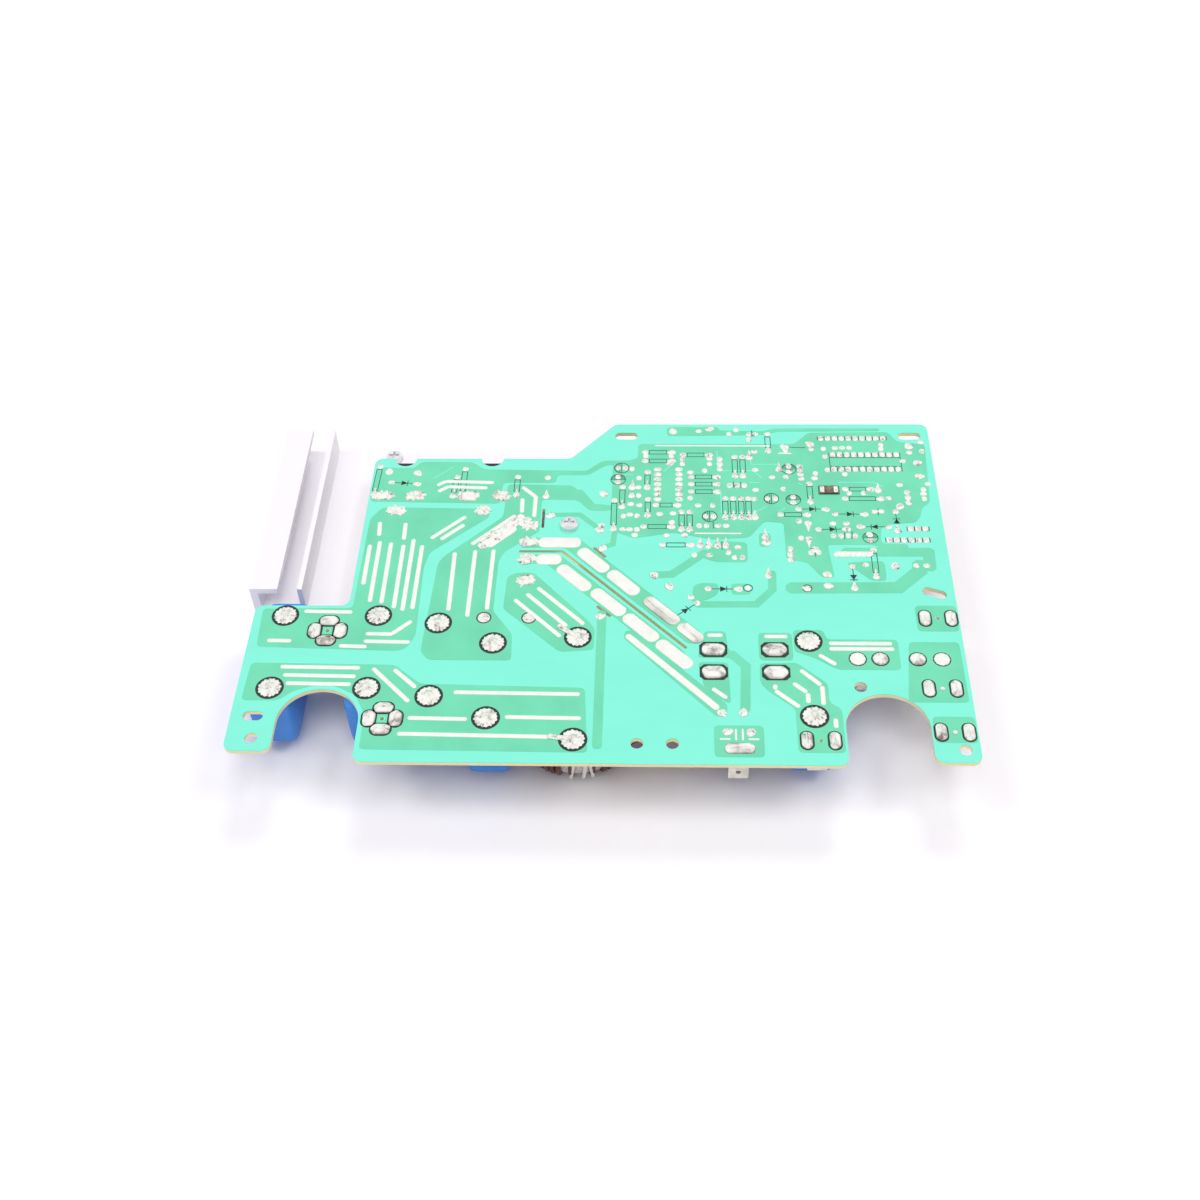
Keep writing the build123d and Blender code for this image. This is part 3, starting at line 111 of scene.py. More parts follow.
# Places on the board, in thousandths of its length and width: x, y, x, y and so on
# Outlines of the copper fields
FIELDS = (
    (11, 403, 140, 406, 142, 678, 158, 715, 320, 711, 323, 685, 240, 573, 234, 530, 236, 330, 226, 294, 213, 286,
     14, 296),
    (254, 540, 262, 562, 343, 685, 346, 792, 446, 788, 476, 728, 504, 724, 504, 705, 474, 705, 454, 740, 400, 742,
     400, 640, 350, 575, 343, 550, 342, 400, 372, 335, 374, 262, 258, 262, 246, 285),
    (358, 500, 372, 512, 396, 512, 476, 378, 488, 352, 488, 292, 440, 286, 356, 406),
    (12, 252, 213, 248, 252, 198, 478, 190, 485, 26, 182, 30, 182, 118, 165, 168, 135, 191, 103, 191, 78, 176,
     60, 152, 10, 152),
    (491, 402, 504, 402, 504, 35, 491, 35),
    (139, 850, 172, 846, 196, 846, 208, 868, 288, 866, 306, 842, 466, 837, 490, 872, 543, 873, 543, 859, 495, 857,
     469, 823, 421, 823, 419, 797, 338, 797, 336, 728, 137, 734),
    (392, 588, 439.5, 588, 621.6, 307, 638, 325, 637.7, 341.5, 460, 616, 375, 619, 375, 588),
    (375, 567, 432, 567, 612.4, 291, 622, 262, 612, 240, 595.7, 260.5, 412.7, 540.5, 375, 539),
    (533, 348, 545, 342, 672, 147, 668, 118, 656, 118, 528, 327),
    (632, 260, 674, 260, 676, 152, 668, 156, 640, 195),
    (642, 345, 672, 345, 674, 300, 680, 284, 668, 272, 632, 272),
    (717, 341, 764, 341, 764, 266, 717, 266),
    (766, 350, 808, 350, 812, 324, 910, 324, 910, 242, 824, 242, 790, 276, 766, 290),
    (717, 258, 768, 260, 808, 205, 808, 156, 824, 140, 824, 30, 762, 30, 762, 140, 728, 183, 717, 205),
    (940, 420, 998, 420, 998, 348, 940, 348),
    (925, 318, 994, 318, 995, 158, 914, 158),
    (942, 122, 998, 122, 998, 57, 942, 57),
    (652, 96, 718, 96, 718, 18, 652, 18),
    (506, 862, 545, 880, 545, 930, 789, 930, 812, 970, 938, 972, 950, 938, 992, 930, 986, 735, 972, 716, 969, 690,
     959, 669, 915, 664, 907, 650, 905, 604, 944, 603, 944, 589, 902, 589, 895, 600, 826, 600, 832, 500, 814, 500,
     794, 546, 764, 556, 764, 668, 735, 672, 712, 622, 660, 614, 600, 636, 540, 618, 506, 645),
    (590, 990, 672, 990, 672, 978, 740, 975, 760, 985, 925, 985, 925, 976, 765, 974, 742, 962, 590, 958),
    (628, 476, 640, 484, 664, 482, 664, 452, 645, 432, 624, 428),
    (682, 482, 710, 482, 710, 450, 682, 450),
    (640, 560, 662, 546, 708, 546, 708, 606, 664, 612),
    (850, 545, 884, 550, 906, 550, 906, 492, 884, 492),
    (726, 636, 744, 636, 742, 593, 726, 593),
)
# Tracks: width in mm, then the points that they pass
TRACKS = (
    (3.4, 572, 507, 597, 509, 645, 574),
    (3.0, 635, 421, 717, 422, 741, 465, 742, 512),
    (5.4, 771, 470, 921, 472, 955, 522, 956, 538),
    (4.4, 854, 578, 972, 578, 971, 534),
    (2.6, 457, 767, 478, 719, 507, 715),
    (2.2, 421, 692, 459, 693, 490, 646),
    (2.2, 493, 588, 510, 600, 512, 638),
    (3.4, 668, 283, 680, 281, 698, 251, 695, 139),
)
# Bare gaps between tracks of the signal part
GAPS = (
    (668, 905, 668, 838, 722, 838, 735, 815), (720, 882, 720, 860, 762, 860),
    (672, 760, 672, 700, 720, 700, 740, 720), (852, 800, 905, 800, 918, 785), (230, 812, 257, 849),
    (717, 798, 731, 799), (758, 704, 768, 716), (791, 798, 795, 791), (600, 861, 585, 836), (525, 824, 537, 824),
)
# Tin strips, bars and lines from end to end: narrow, finest, broader, and wide
STRIPS = (
    (71, 396, 141, 394), (27, 313, 62, 312), (130, 299, 170, 297), (164, 312, 230, 310), (165, 333, 204, 332),
    (201.5, 331.5, 228, 370), (158, 668, 160, 623), (197, 665, 198, 611), (149, 596, 149, 474), (163, 607, 163, 423),
    (180, 603, 180, 419), (199, 596, 199, 405), (213, 614, 212, 398), (227, 595, 226, 403), (277, 573, 278, 399),
    (307, 580, 306, 382), (334, 582, 333, 402), (238, 615, 287, 686), (253, 612, 286, 660), (300, 597, 362, 690),
    (249, 801, 324, 797), (236, 787, 250.5, 802), (253, 783, 315, 779), (239, 766, 254.5, 784), (370, 745, 371, 698),
    (368, 783, 390, 750), (390, 755, 390, 684), (54, 241, 166, 239), (60, 219, 162, 216), (66, 197, 157, 195),
    (183, 239, 240, 150), (213, 236, 247, 187), (241, 109, 322, 107), (299, 176, 472, 173), (372, 113, 475, 111),
    (230, 69, 433, 64), (403, 468, 473, 362), (388, 450, 449, 356), (371, 433, 441, 327), (725, 331, 758, 331),
    (646, 334, 668, 334), (814, 313, 902, 313), (814, 298, 904, 298), (799, 282, 822, 255), (737, 202, 736, 188),
    (736, 186, 768, 143), (761, 206, 779, 181), (780, 180, 780, 154), (772, 241, 799, 200), (800, 199, 800, 149),
    (814, 116, 814, 91), (651, 191, 671, 165),
)
HAIR_STRIPS = (
    (571, 924, 752, 923), (631, 634, 701, 634), (659, 62, 674, 62), (697, 62, 712, 62), (681, 88, 681, 59),
    (690, 88, 690, 59), (763, 898, 784, 897),
)
LONG_STRIPS = (
    (533, 334, 659, 137), (834, 572, 890, 572),
)
BARS = (
    (399, 604, 463, 604), (397, 552, 436, 552), (461, 583, 503, 517), (506, 516, 548, 450), (432, 532, 478, 462),
    (483, 461, 529, 391), (530, 389, 576, 319), (577, 316, 623, 246), (320, 594, 362, 658),
)
# Two bars on which the solder was drawn by hand
DRAWN_BARS = (
    (559, 438, 605, 366), (607, 364, 638, 316),
)
# Film capacitors with their two leads along the width, and the ring choke's two leads
FILM_MIDDLES = (
    (45.5, 284), (179, 285), (266, 265), (346.5, 210), (786.5, 219.5),
)
CHOKE_MIDDLE = (465, 192)
SMALL_RINGS = (
    (330, 380), (394, 380),
)
TERMINALS = (
    (110, 341), (207, 107),
)
TABS = (
    (970.5, 384), (962, 194), (969.5, 83), (792.5, 60),
)
FRONT_TAB = (685.5, 39)
FUSE_PADS = (
    (852, 271), (883, 271), (934, 271), (967, 271),
)
FILTER_PADS = (
    (654, 294.5), (654, 233.5), (739, 294.5), (739, 233.5),
)
POWER_PADS = (
    (154.1, 753), (179.5, 705), (204.9, 753), (286.6, 753), (312, 705), (337.4, 753), (385, 658), (385, 605),
    (385, 554), (385, 490),
)
# Lumps of solder heaped on one bar: place, radius and height in mm
POWER_LUMPS = (
    (319, 597, 1.8, 0.9), (328, 609, 2.1, 1.2), (338, 626, 2.3, 1.05), (348, 643, 2.2, 1.3), (358, 661, 2.3, 1.1),
    (368, 674, 2.1, 1.35), (377, 668, 1.9, 1.2), (316, 613, 0.9, 0.7), (326, 634, 0.8, 0.6),
)
# Resistors from lead to lead
RESISTORS = (
    (695, 885, 695, 821), (707, 885, 707, 821), (510, 739, 510, 648), (522, 783, 522, 719), (561, 743, 561, 691),
    (560, 833, 560, 782), (612, 702, 612, 646), (624, 702, 624, 646), (678, 746, 678, 685), (690, 746, 690, 685),
    (702, 746, 702, 685), (713, 746, 713, 685), (807, 795, 807, 735), (748, 965, 748, 906), (892, 584, 892, 504),
    (760, 694, 800, 694), (859, 746, 913, 746), (583, 598, 625, 598), (573, 724, 606, 724), (555, 655, 597, 655),
    (627, 817, 667, 817), (627, 793, 667, 793), (627, 768, 667, 768), (556, 901, 598, 901), (556, 871, 598, 871),
    (615, 892, 656, 892), (861, 777, 900, 777), (143, 851, 143, 790), (277, 843, 240, 843), (360, 816, 360, 756),
)
# Joints and outlines, as the photograph shows them, in place of the last three resistors' leads
OUTLINES = (
    (143, 851, 141, 757), (277, 843, 277, 757), (266, 816, 263, 753), (360, 816, 360, 756),
)
# Diodes from lead to lead
DIODES = (
    (649, 466, 693, 466), (842, 696, 886, 696), (877, 656, 919, 656), (788, 712, 829, 712), (830, 648, 861, 648),
    (859, 533, 859, 470), (932, 704, 932, 644), (165, 797, 206, 793), (406, 814, 406, 752),
)
# The diodes' joints as the photograph shows them; the last two have no symbol beside them
DIODE_JOINTS = (
    (649, 466, 693, 466), (842, 696, 886, 696), (919, 656, 877, 656), (788, 712, 829, 712), (815, 647, 857, 649),
    (859, 533, 859, 470), (165, 797, 206, 793), (932, 704, 932, 644), (406, 814, 406, 752),
)
# Diode symbols that point away from the drawn joint, or that have no part beneath them
PRINTED_DIODES = (
    (601, 385, 632, 424), (932, 644, 932, 704),
)
# Standing capacitors and transistors: the middle, then the axis along which the two or three leads lie
RADIALS = (
    (748, 746, 0), (781, 742, 1), (890, 622, 1), (778, 844, 1), (520, 847, 0), (515, 808, 1), (654, 688, 0),
)
TRANSISTORS = (
    (697, 789, 0), (672, 861, 1), (954, 750, 1), (771, 570, 1),
)
# Connectors: the middle and the number of pins
HEADERS = (
    (880, 950, 10), (944.5, 615, 6), (962, 650, 3),
)
CONTROLLER = (896.5, 868)
COMPARATOR = (592, 792)
CHIP_RESISTOR = (836, 773)
# Joints with a printed ring
RINGED_PADS = (
    (706, 469), (791, 469),
)
# Joints drawn out to a point as the board left the bath: upwards (1) or downwards (-1) in the photograph
DRAWN_PADS = (
    (722, 685, 1), (639, 596, 1), (652, 596, 1), (665, 596, 1), (677, 596, 1), (737, 506, 1), (736, 624, 1),
    (537, 782, 1), (911, 773, 1), (800, 666, -1), (799, 617, -1), (718, 884, 1), (763, 842, 1),
)
# Printed ticks between small joints
MARKS = (
    (907, 714, 906, 693), (853, 637, 852, 617), (864, 641, 863, 619), (782, 919, 806, 917), (692, 801, 692, 781),
    (703, 801, 703, 781), (724, 978, 724, 956), (659, 670, 659, 650), (671, 608, 671, 583), (808, 587, 807, 564),
)
# Lone joints
LONE_PADS = (
    571, 507,  593, 473,  737, 606,  600, 974,  657, 983,  774, 919,  814, 930,  967, 920,  976, 865,  976, 820,
    940, 722,  921, 535,  791, 468,  821, 476,  821, 510,  807, 585,  494, 760,  490, 645,  495, 588,  495, 385,
    415, 690,  159, 833,  203, 829,  670, 80,  701, 80,  663, 128,  692, 128,
)
# Surface joints of small parts that stand on the copper
SMALL_PADS = (
    557, 888,  597, 888,  614, 877,  614, 861,  656, 879,  626, 832,  625, 747,  536, 844,  547, 813,  546, 782,
    536, 753,  547, 755,  535, 727,  548, 723,  524, 688,  534, 693,  545, 689,  524, 646,  534, 646,  545, 646,
    542, 628,  597, 669,  579, 695,  599, 697,  637, 723,  659, 723,  648, 838,  725, 774,  722, 744,  638, 658,
    649, 658,  666, 658,  678, 658,  616, 628,  694, 591,  689, 560,  700, 560,  680, 575,  652, 567,  630, 567,
    706, 469,  624, 441,  633, 424,  751, 816,  726, 841,  772, 816,  775, 907,  492, 659,  815, 913,  834, 913,
    852, 916,  863, 917,  874, 917,  924, 927,  923, 913,  966, 900,  986, 936,  986, 905,  954, 871,  835, 887,
    837, 841,  944, 791,  987, 794,  979, 776,  978, 762,  978, 746,  863, 827,  866, 764,  888, 764,  924, 747,
    767, 777,  901, 704,  911, 705,  787, 673,  788, 620,  837, 666,  857, 666,  836, 627,  847, 627,  858, 628,
    868, 627,  889, 633,  878, 539,  951, 537,  966, 537,  795, 853,  795, 841,  795, 826,  796, 811,  777, 855,
    818, 829,  816, 813,  966, 927,  536, 757,  589, 627,  656, 861,  594, 861,  801, 575,  812, 576,  688, 965,
    699, 979,  719, 964,  729, 964,  718, 945,  726, 903,  640, 975,
)


def linear(text):
    """Linear colour of an sRGB hex value."""
    share = np.array([int(text[i:i + 2], 16) for i in (1, 3, 5)]) / 255
    return tuple(np.where(share <= 0.04045, share / 12.92, ((share + 0.055) / 1.055) ** 2.4).tolist())


def spot(places):
    """Places in metres of numbers in thousandths of the board's length and width, taken two by two."""
    return BOARD_LOW[:2] + np.asarray(places, float).reshape(-1, 2) / 1000 * BOARD_SPAN[:2]


def spans(table):
    """Pairs of places, one pair a row of the table."""
    return spot(table).reshape(-1, 2, 2)


def size_property(name, about, default):
    """A length that a user may change, in metres."""
    return FloatProperty(name=name, description=about, default=default, min=0, unit="LENGTH", precision=5)


def colour_property(name, about, text):
    """A colour that a user may change."""
    return FloatVectorProperty(name=name, description=about, default=linear(text), size=3, min=0, max=1,
                               subtype="COLOR")


class FryerBoardSizes(PropertyGroup):
    """Sizes of what lies on the board's solder side and is wound beneath it."""

    foil: size_property("Foil", "How far the copper stands above the bare laminate", 0.06 * MM)
    tin: size_property("Tin", "Height of the dipped tin on the tracks", 0.3 * MM)
    strip: size_property("Strip", "Width of the narrow tin strips", 1.6 * MM)
    hair: size_property("Fine strip", "Width of the finest tin strips", 0.7 * MM)
    bar: size_property("Bar", "Width of the wide tin bars", 4.9 * MM)
    ring: size_property("Ring", "Radius of a ringed joint's solder", 3.7 * MM)
    ink: size_property("Ink line", "Width of a printed line", 0.24 * MM)
    dot: size_property("Signal joint", "Radius of a small joint", 1.3 * MM)
    wire: size_property("Choke wire", "Diameter of the ring choke's wire", 1.9 * MM)


class FryerBoardColours(PropertyGroup):
    """Colours of the board's finishes."""

    lacquer: colour_property("Lacquer", "Green lacquer over bare laminate", "#84F7DA")
    copper: colour_property("Lacquered copper", "Green lacquer over copper", "#70DDB1")
    laminate: colour_property("Laminate", "Cut edge of the laminate", "#FFF0B8")
    underside: colour_property("Underside", "Component side of the laminate", "#EEE8DC")
    tin: colour_property("Tin", "Dipped tin", "#FDFCF5")
    # Used both for burnt flux and for painted shade and reflection: the solder's dark rims and darker tones mix it
    flux_and_shade: colour_property("Flux", "Burnt flux in the folds of the solder", "#7A6E66")
    ink: colour_property("Ink", "Printed ink", "#23302D")
    aluminium: colour_property("Aluminium", "Bare extruded aluminium", "#FDFBFE")
    case: colour_property("Capacitor case", "Blue moulded cases", "#3F8ADE")
    wire: colour_property("Wire", "Enamel of the copper wire", "#5E2118")


def add(tree, kind, at=None, **settings):
    """Adds one node: settings are its properties, at gives its inputs by name or number as values or sockets."""
    node = tree.nodes.new(kind)
    for key, value in settings.items():
        setattr(node, key, value)
    for key, value in (at or {}).items():
        if isinstance(value, bpy.types.NodeSocket):
            tree.links.new(value, node.inputs[key])
        else:
            node.inputs[key].default_value = value
    return node


def finish(name, **sockets):
    """A new material with its tree and its one shader, whose plain numbers are set on its own sockets."""
    material = bpy.data.materials.new(name)
    material.use_nodes = True
    shader = material.node_tree.nodes["Principled BSDF"]
    for key, value in sockets.items():
        shader.inputs[key.replace("_", " ")].default_value = value
    return material, material.node_tree, shader


def mottle(tree, grain, detail=3.0, stretch=(1, 1, 1), source=None):
    """Noise whose lumps are about grain metres across, on Object coordinates or on another vector."""
    vector = source or add(tree, "ShaderNodeTexCoord").outputs["Object"]
    placed = add(tree, "ShaderNodeMapping", {"Vector": vector, "Scale": stretch})
    noise = {"Vector": placed.outputs[0], "Scale": 0.5 / grain, "Detail": detail}
    return add(tree, "ShaderNodeTexNoise", noise).outputs["Fac"]


def ramp(tree, factor, stops):
    """Colours along a factor."""
    node = add(tree, "ShaderNodeValToRGB", {"Fac": factor})
    while len(node.color_ramp.elements) < len(stops):
        node.color_ramp.elements.new(0.5)
    for element, (position, colour) in zip(node.color_ramp.elements, stops):
        element.position = position
        element.color = (*colour, 1)
    return node.outputs["Color"]


def tinted(colour, by):
    """A colour made lighter or darker by a factor."""
    return tuple(min(1.0, part * by) for part in colour)


def shades(colour, dark, pale, low=0.3, high=0.7):
    """Stops of one colour times two factors."""
    return (low, tinted(colour, dark)), (high, tinted(colour, pale))


def maths(tree, operation, one, other):
    """One of Blender's operations on two numbers."""
    return add(tree, "ShaderNodeMath", {0: one, 1: other}, operation=operation).outputs[0]


def mixed(tree, share, one, other):
    """A colour that goes from one to another with a share."""
    return add(tree, "ShaderNodeMix", {0: share, 6: one, 7: other}, data_type="RGBA").outputs[2]


def ranged(tree, value, start, end, **limits):
    """A number that goes from start to end while the value goes from 0 to 1, or between other limits."""
    limits = {key.replace("_", " "): limit for key, limit in limits.items()}
    return add(tree, "ShaderNodeMapRange", {"Value": value, **limits, "To Min": start, "To Max": end}).outputs[0]


def linked(tree, shader, colour=None, rough=None, height=None, dent=(0.0, 0.0)):
    """Links what is given to the shader: colour, roughness, and a height with its depth in mm and strength."""
    if colour:
        tree.links.new(colour, shader.inputs["Base Color"])
    if rough:
        tree.links.new(rough, shader.inputs["Roughness"])
    if height:
        bump = add(tree, "ShaderNodeBump", {"Height": height, "Distance": dent[0] * MM, "Strength": dent[1]})
        tree.links.new(bump.outputs["Normal"], shader.inputs["Normal"])


def level_of(tree):
    """Object coordinates, and their height alone."""
    place = add(tree, "ShaderNodeTexCoord").outputs["Object"]
    return place, add(tree, "ShaderNodeSeparateXYZ", {"Vector": place}).outputs["Z"]


def lacquered_laminate(colours):
    """Curtain-coated green solder lacquer on a cream glass and paper laminate.

    The lacquer is glossy, a little streaked by the coating, and lies only on the upper face. The sawn edge below
    it is duller and fibrous, and the component side is paler."""
    material, tree, shader = finish("lacquered_laminate", IOR=1.52)
    place, level = level_of(tree)
    upper = maths(tree, "GREATER_THAN", level, TOP - 0.3 * MM)
    lower = maths(tree, "LESS_THAN", level, BASE + 0.1 * MM)
    # Coating streaks about 14 mm long across the board, and fibres about 1 mm long in the laminate
    streak = mottle(tree, 5 * MM, 4.0, (0.35, 1, 1), place)
    fibre = mottle(tree, 0.8 * MM, 5.0, (1, 1, 3), place)
    coat = ramp(tree, streak, shades(colours.lacquer, 0.955, 1, 0.25, 0.75))
    sawn = ramp(tree, fibre, shades(colours.laminate, 0.9, 1))
    pale = ramp(tree, fibre, shades(colours.underside, 0.94, 1))
    skin = mixed(tree, upper, mixed(tree, lower, sawn, pale), coat)
    ripple = mottle(tree, 1.5 * MM, 2.0, (1, 1, 1), place)
    linked(tree, shader, skin, ranged(tree, upper, 0.75, 0.3), ripple, (0.02, 0.5))
    return material


def solder(colours, name, folds, tones, foot, front_shade_reach, grain=0.9):
    """Solder drawn up around a lead: folds that run to the tip, darker between them with grey-brown burnt flux
    and with painted reflection.

    The folds follow the piece's own flow attribute: the direction from the lead, and the share of the climb.
    folds is how many lie about a lead, and tones are the shares of the flux colour at the four stops from dark to pale.
    The darker stops are partly burnt flux and partly painted reflection. A dark rim, partly burnt flux and partly
    painted shade, rises up to a share foot of the climb, and up to front_shade_reach on the side towards negative y of
    the flow, where it is painted shade. grain is the size in mm of the patches between which the tone varies."""
    material, tree, shader = finish(name, Metallic=0.85)
    flow = add(tree, "ShaderNodeAttribute", attribute_name="flow").outputs["Vector"]
    noise = {"Vector": flow, "Scale": folds / 3, "Detail": 3.0, "Roughness": 0.6}
    fold = add(tree, "ShaderNodeTexNoise", noise).outputs["Fac"]
    both = maths(tree, "ADD", fold, mottle(tree, grain * MM, 4.0))
    half = maths(tree, "MULTIPLY", both, 0.5)
    # Stops from the flux colour to tin: their darker greys are partly burnt flux and partly painted reflection
    stops = [tuple(a + (b - a) * tone for a, b in zip(colours.tin, colours.flux_and_shade)) for tone in tones]
    colour = ramp(tree, half, tuple(zip((0.36, 0.44, 0.51, 0.58), stops)))
    parts = add(tree, "ShaderNodeSeparateXYZ", {"Vector": flow}).outputs
    # Painted shade: a dark rim at the foot, partly burnt flux, that reaches higher on the side towards negative y of
    # the flow
    reach = ranged(tree, parts["Y"], front_shade_reach, foot, From_Min=-1.0, From_Max=0.2)
    rim = ranged(tree, parts["Z"], 0.0, 1.0, From_Max=reach)
    skin = mixed(tree, rim, (*tinted(colours.flux_and_shade, 0.55), 1), colour)
    rough = ranged(tree, half, 0.5, 0.22, From_Min=0.35, From_Max=0.6)
    linked(tree, shader, skin, rough, both, (0.12, 0.8))
    return material


def patchy(name, patch, stops, rough=None, dent=None, fine=None, fine_gloss=False, **sockets):
    """A finish whose colour varies over patches between two stops.

    patch and fine are noises as mottle takes them. The dents follow the fine one where it is given, or else the
    patches. So does the roughness, between its two values, where fine_gloss is set."""
    material, tree, shader = finish(name, **sockets)
    cloud = mottle(tree, *patch)
    grain = mottle(tree, *fine) if fine else cloud
    gloss = ranged(tree, grain if fine_gloss else cloud, *rough) if rough else None
    linked(tree, shader, ramp(tree, cloud, stops), gloss, grain if dent else None, dent)
    return material


def simple(name, dark, pale, grain, rough, stretch=(1, 1, 1), dent=0.02, **sockets):
    """A finish whose colour and gloss vary between two values over grains of a size in mm."""
    stops = (0.3, linear(dark)), (0.7, linear(pale))
    return patchy(name, (grain * MM, 3.0, stretch), stops, rough[::-1], (dent, 0.5), **sockets)


def banded(name, rough):
    """A lacquered body whose colour comes from its own attribute, for coloured rings."""
    material, tree, shader = finish(name, IOR=1.5)
    colour = add(tree, "ShaderNodeAttribute", attribute_name="paint").outputs["Color"]
    linked(tree, shader, colour, ranged(tree, mottle(tree, 0.8 * MM, 2.0), *rough))
    return material


def sleeved_can():
    """An aluminium can in a shrunk black sleeve: the sleeve ends at the can's free end, which lies below."""
    material, tree, shader = finish("sleeved_can")
    place, level = level_of(tree)
    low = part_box("electrolytic_capacitors")[0][2]
    sleeve = maths(tree, "GREATER_THAN", level, low + 0.3 * MM)
    patch = mottle(tree, 1.5 * MM, 3.0, (1, 1, 1), place)
    dark = ramp(tree, patch, ((0.3, linear("#1B1D24")), (0.7, linear("#2A2D38"))))
    skin = mixed(tree, sleeve, (*linear("#D9D9DC"), 1), dark)
    linked(tree, shader, skin, ranged(tree, patch, 0.3, 0.42))
    tree.links.new(maths(tree, "SUBTRACT", 1.0, sleeve), shader.inputs["Metallic"])
    return material


FINISHES = {}


def finish_for(key):
    """The shared finish of a name, made at its first use from the panel's colours."""
    colours = bpy.context.scene.fryer_board_colours
    makers = {
        "laminate": lambda: lacquered_laminate(colours),
        # The same lacquer over rolled copper foil: darker and warmer, clouded over 7 mm, with the foil's cleaning
        # marks drawn 5 mm long and 0.5 mm wide, coarser than real so that they show
        "copper": lambda: patchy("lacquered_copper", (7 * MM,), shades(colours.copper, 0.92, 1.05), None, (0.01, 0.6),
                                 (0.5 * MM, 2.0, (0.1, 1, 1)), Roughness=0.32, IOR=1.52),
        # Tin from the solder bath on bare tracks: bright, a little frosted in patches of 1.6 mm
        "tin": lambda: patchy("dipped_tin", (1.6 * MM, 4.0), shades(colours.tin, 0.93, 1, 0.3, 0.62), (0.5, 0.28),
                              (0.05, 0.6), (0.9 * MM,), Metallic=0.6),
        # Bright solder of round joints, darker solder of wide pads, wiped solder of two bars, pale solder of small
        # joints.
        # Their darker tones and dark rims are partly burnt flux and partly painted reflection and shade; the wide pads'
        # solder is darkened most by painted reflection, with the widest painted shade rim at the foot
        "solder": lambda: solder(colours, "drawn_solder", 15, (0.85, 0.3, 0.06, 0.0), 0.05, 0.06),
        "painted_reflection_solder": lambda: solder(colours, "pooled_solder", 4, (0.95, 0.5, 0.15, 0.0), 0.3, 0.42, 1.8),
        "wiped_solder": lambda: solder(colours, "wiped_solder", 2, (0.6, 0.3, 0.1, 0.0), 0.15, 0.45, 3.5),
        "pale_solder": lambda: solder(colours, "beaded_solder", 8, (0.9, 0.2, 0.0, 0.0), 0.05, 0.12),
        # Screen-printed black ink: matt, a little thin in patches of 0.3 mm where the mesh let less through
        "ink": lambda: patchy("printed_ink", (0.3 * MM, 2.0), shades(colours.ink, 1.9, 1, 0.35, 0.6), Roughness=0.7),
        # Bare extruded aluminium: pale, satin, with die lines along the profile, 0.6 mm apart
        "aluminium": lambda: patchy("extruded_aluminium", (0.6 * MM, 3.0, (1, 0.01, 1)),
                                    shades(colours.aluminium, 0.96, 1), (0.55, 0.38), (0.02, 0.5), Metallic=0.1),
        # Moulded flame-proof polyester of a film capacitor: satin blue with a spark-eroded grain of 0.4 mm
        "case": lambda: patchy("moulded_case", (6 * MM, 2.0), shades(colours.case, 0.9, 1.08), (0.36, 0.52),
                               (0.03, 0.5), (0.4 * MM,), True, IOR=1.57, Specular_IOR_Level=0.3),
        # Copper wire in clear red-brown enamel: dark, glossy, a little lighter where the enamel is thin
        "wire": lambda: patchy("enamelled_wire", (1.2 * MM,), shades(colours.wire, 0.6, 1.35, 0.35), (0.42, 0.25),
                               Metallic=0.2, IOR=1.5, Coat_Weight=0.3, Coat_Roughness=0.15),
        # Epoxy-coated iron powder: chalky off-white, a little speckled
        "core": lambda: simple("coated_iron_powder", "#DCD6CA", "#F4F0E8", 0.7, (0.55, 0.7)),
        # Sintered ferrite: dark grey, ground faces with a dull sheen
        "ferrite": lambda: simple("sintered_ferrite", "#2B2B2E", "#3E3E42", 0.5, (0.45, 0.65)),
        # Stamped brass with a bright tin plate
        "tab": lambda: simple("tinned_brass", "#CFC9BD", "#EFEBE2", 1.2, (0.25, 0.4), Metallic=0.9),
        # Zinc-plated steel: bluish grey, slightly cloudy
        "steel": lambda: simple("zinc_plated_steel", "#D6D7DC", "#F4F4F7", 1.0, (0.25, 0.4), Metallic=0.8),
        # Soda-lime glass tube, clear with a green cast
        "glass": lambda: simple("soda_glass", "#DCEBE4", "#EEF6F2", 3, (0.03, 0.08), dent=0.0,
                                Transmission_Weight=0.9, IOR=1.5),
        # Yellow polyester tape, glossy, wound in laps 4 mm wide
        "tape": lambda: simple("polyester_tape", "#D9B32A", "#F0CC45", 4, (0.2, 0.32), (0.1, 1, 1)),
        # Injection-moulded nylon: milky white, satin
        "nylon": lambda: simple("moulded_nylon", "#E9E5DA", "#F6F4EC", 2, (0.4, 0.5), Subsurface_Weight=0.05),
        # Transfer-moulded epoxy: black, matt, with a fine filler grain
        "epoxy": lambda: simple("moulded_epoxy", "#17181A", "#25272A", 0.3, (0.5, 0.65)),
        # Phenolic bobbin: dark brown-black, slightly glossy
        "phenolic": lambda: simple("moulded_phenolic", "#1E1A18", "#2E2824", 0.8, (0.35, 0.5)),
        # Radial disc in blue epoxy dip, with a wavy thickness
        "dip": lambda: simple("dipped_epoxy", "#1F4FA0", "#2E66C0", 1.6, (0.25, 0.4), dent=0.08),
        # Thick-film chip resistor: brown glaze
        "glaze": lambda: simple("thick_film_glaze", "#4E443A", "#8C7D68", 0.7, (0.25, 0.4)),
        "paint": lambda: banded("banded_lacquer", (0.25, 0.4)),
        "can": sleeved_can,
    }
    if key not in FINISHES:
        FINISHES[key] = makers[key]()
    return FINISHES[key]


def dress(key, *nodes):
    """Gives CAD nodes a finish in their own material slots."""
    for node in nodes:
        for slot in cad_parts[node].material_slots:
            slot.material = finish_for(key)


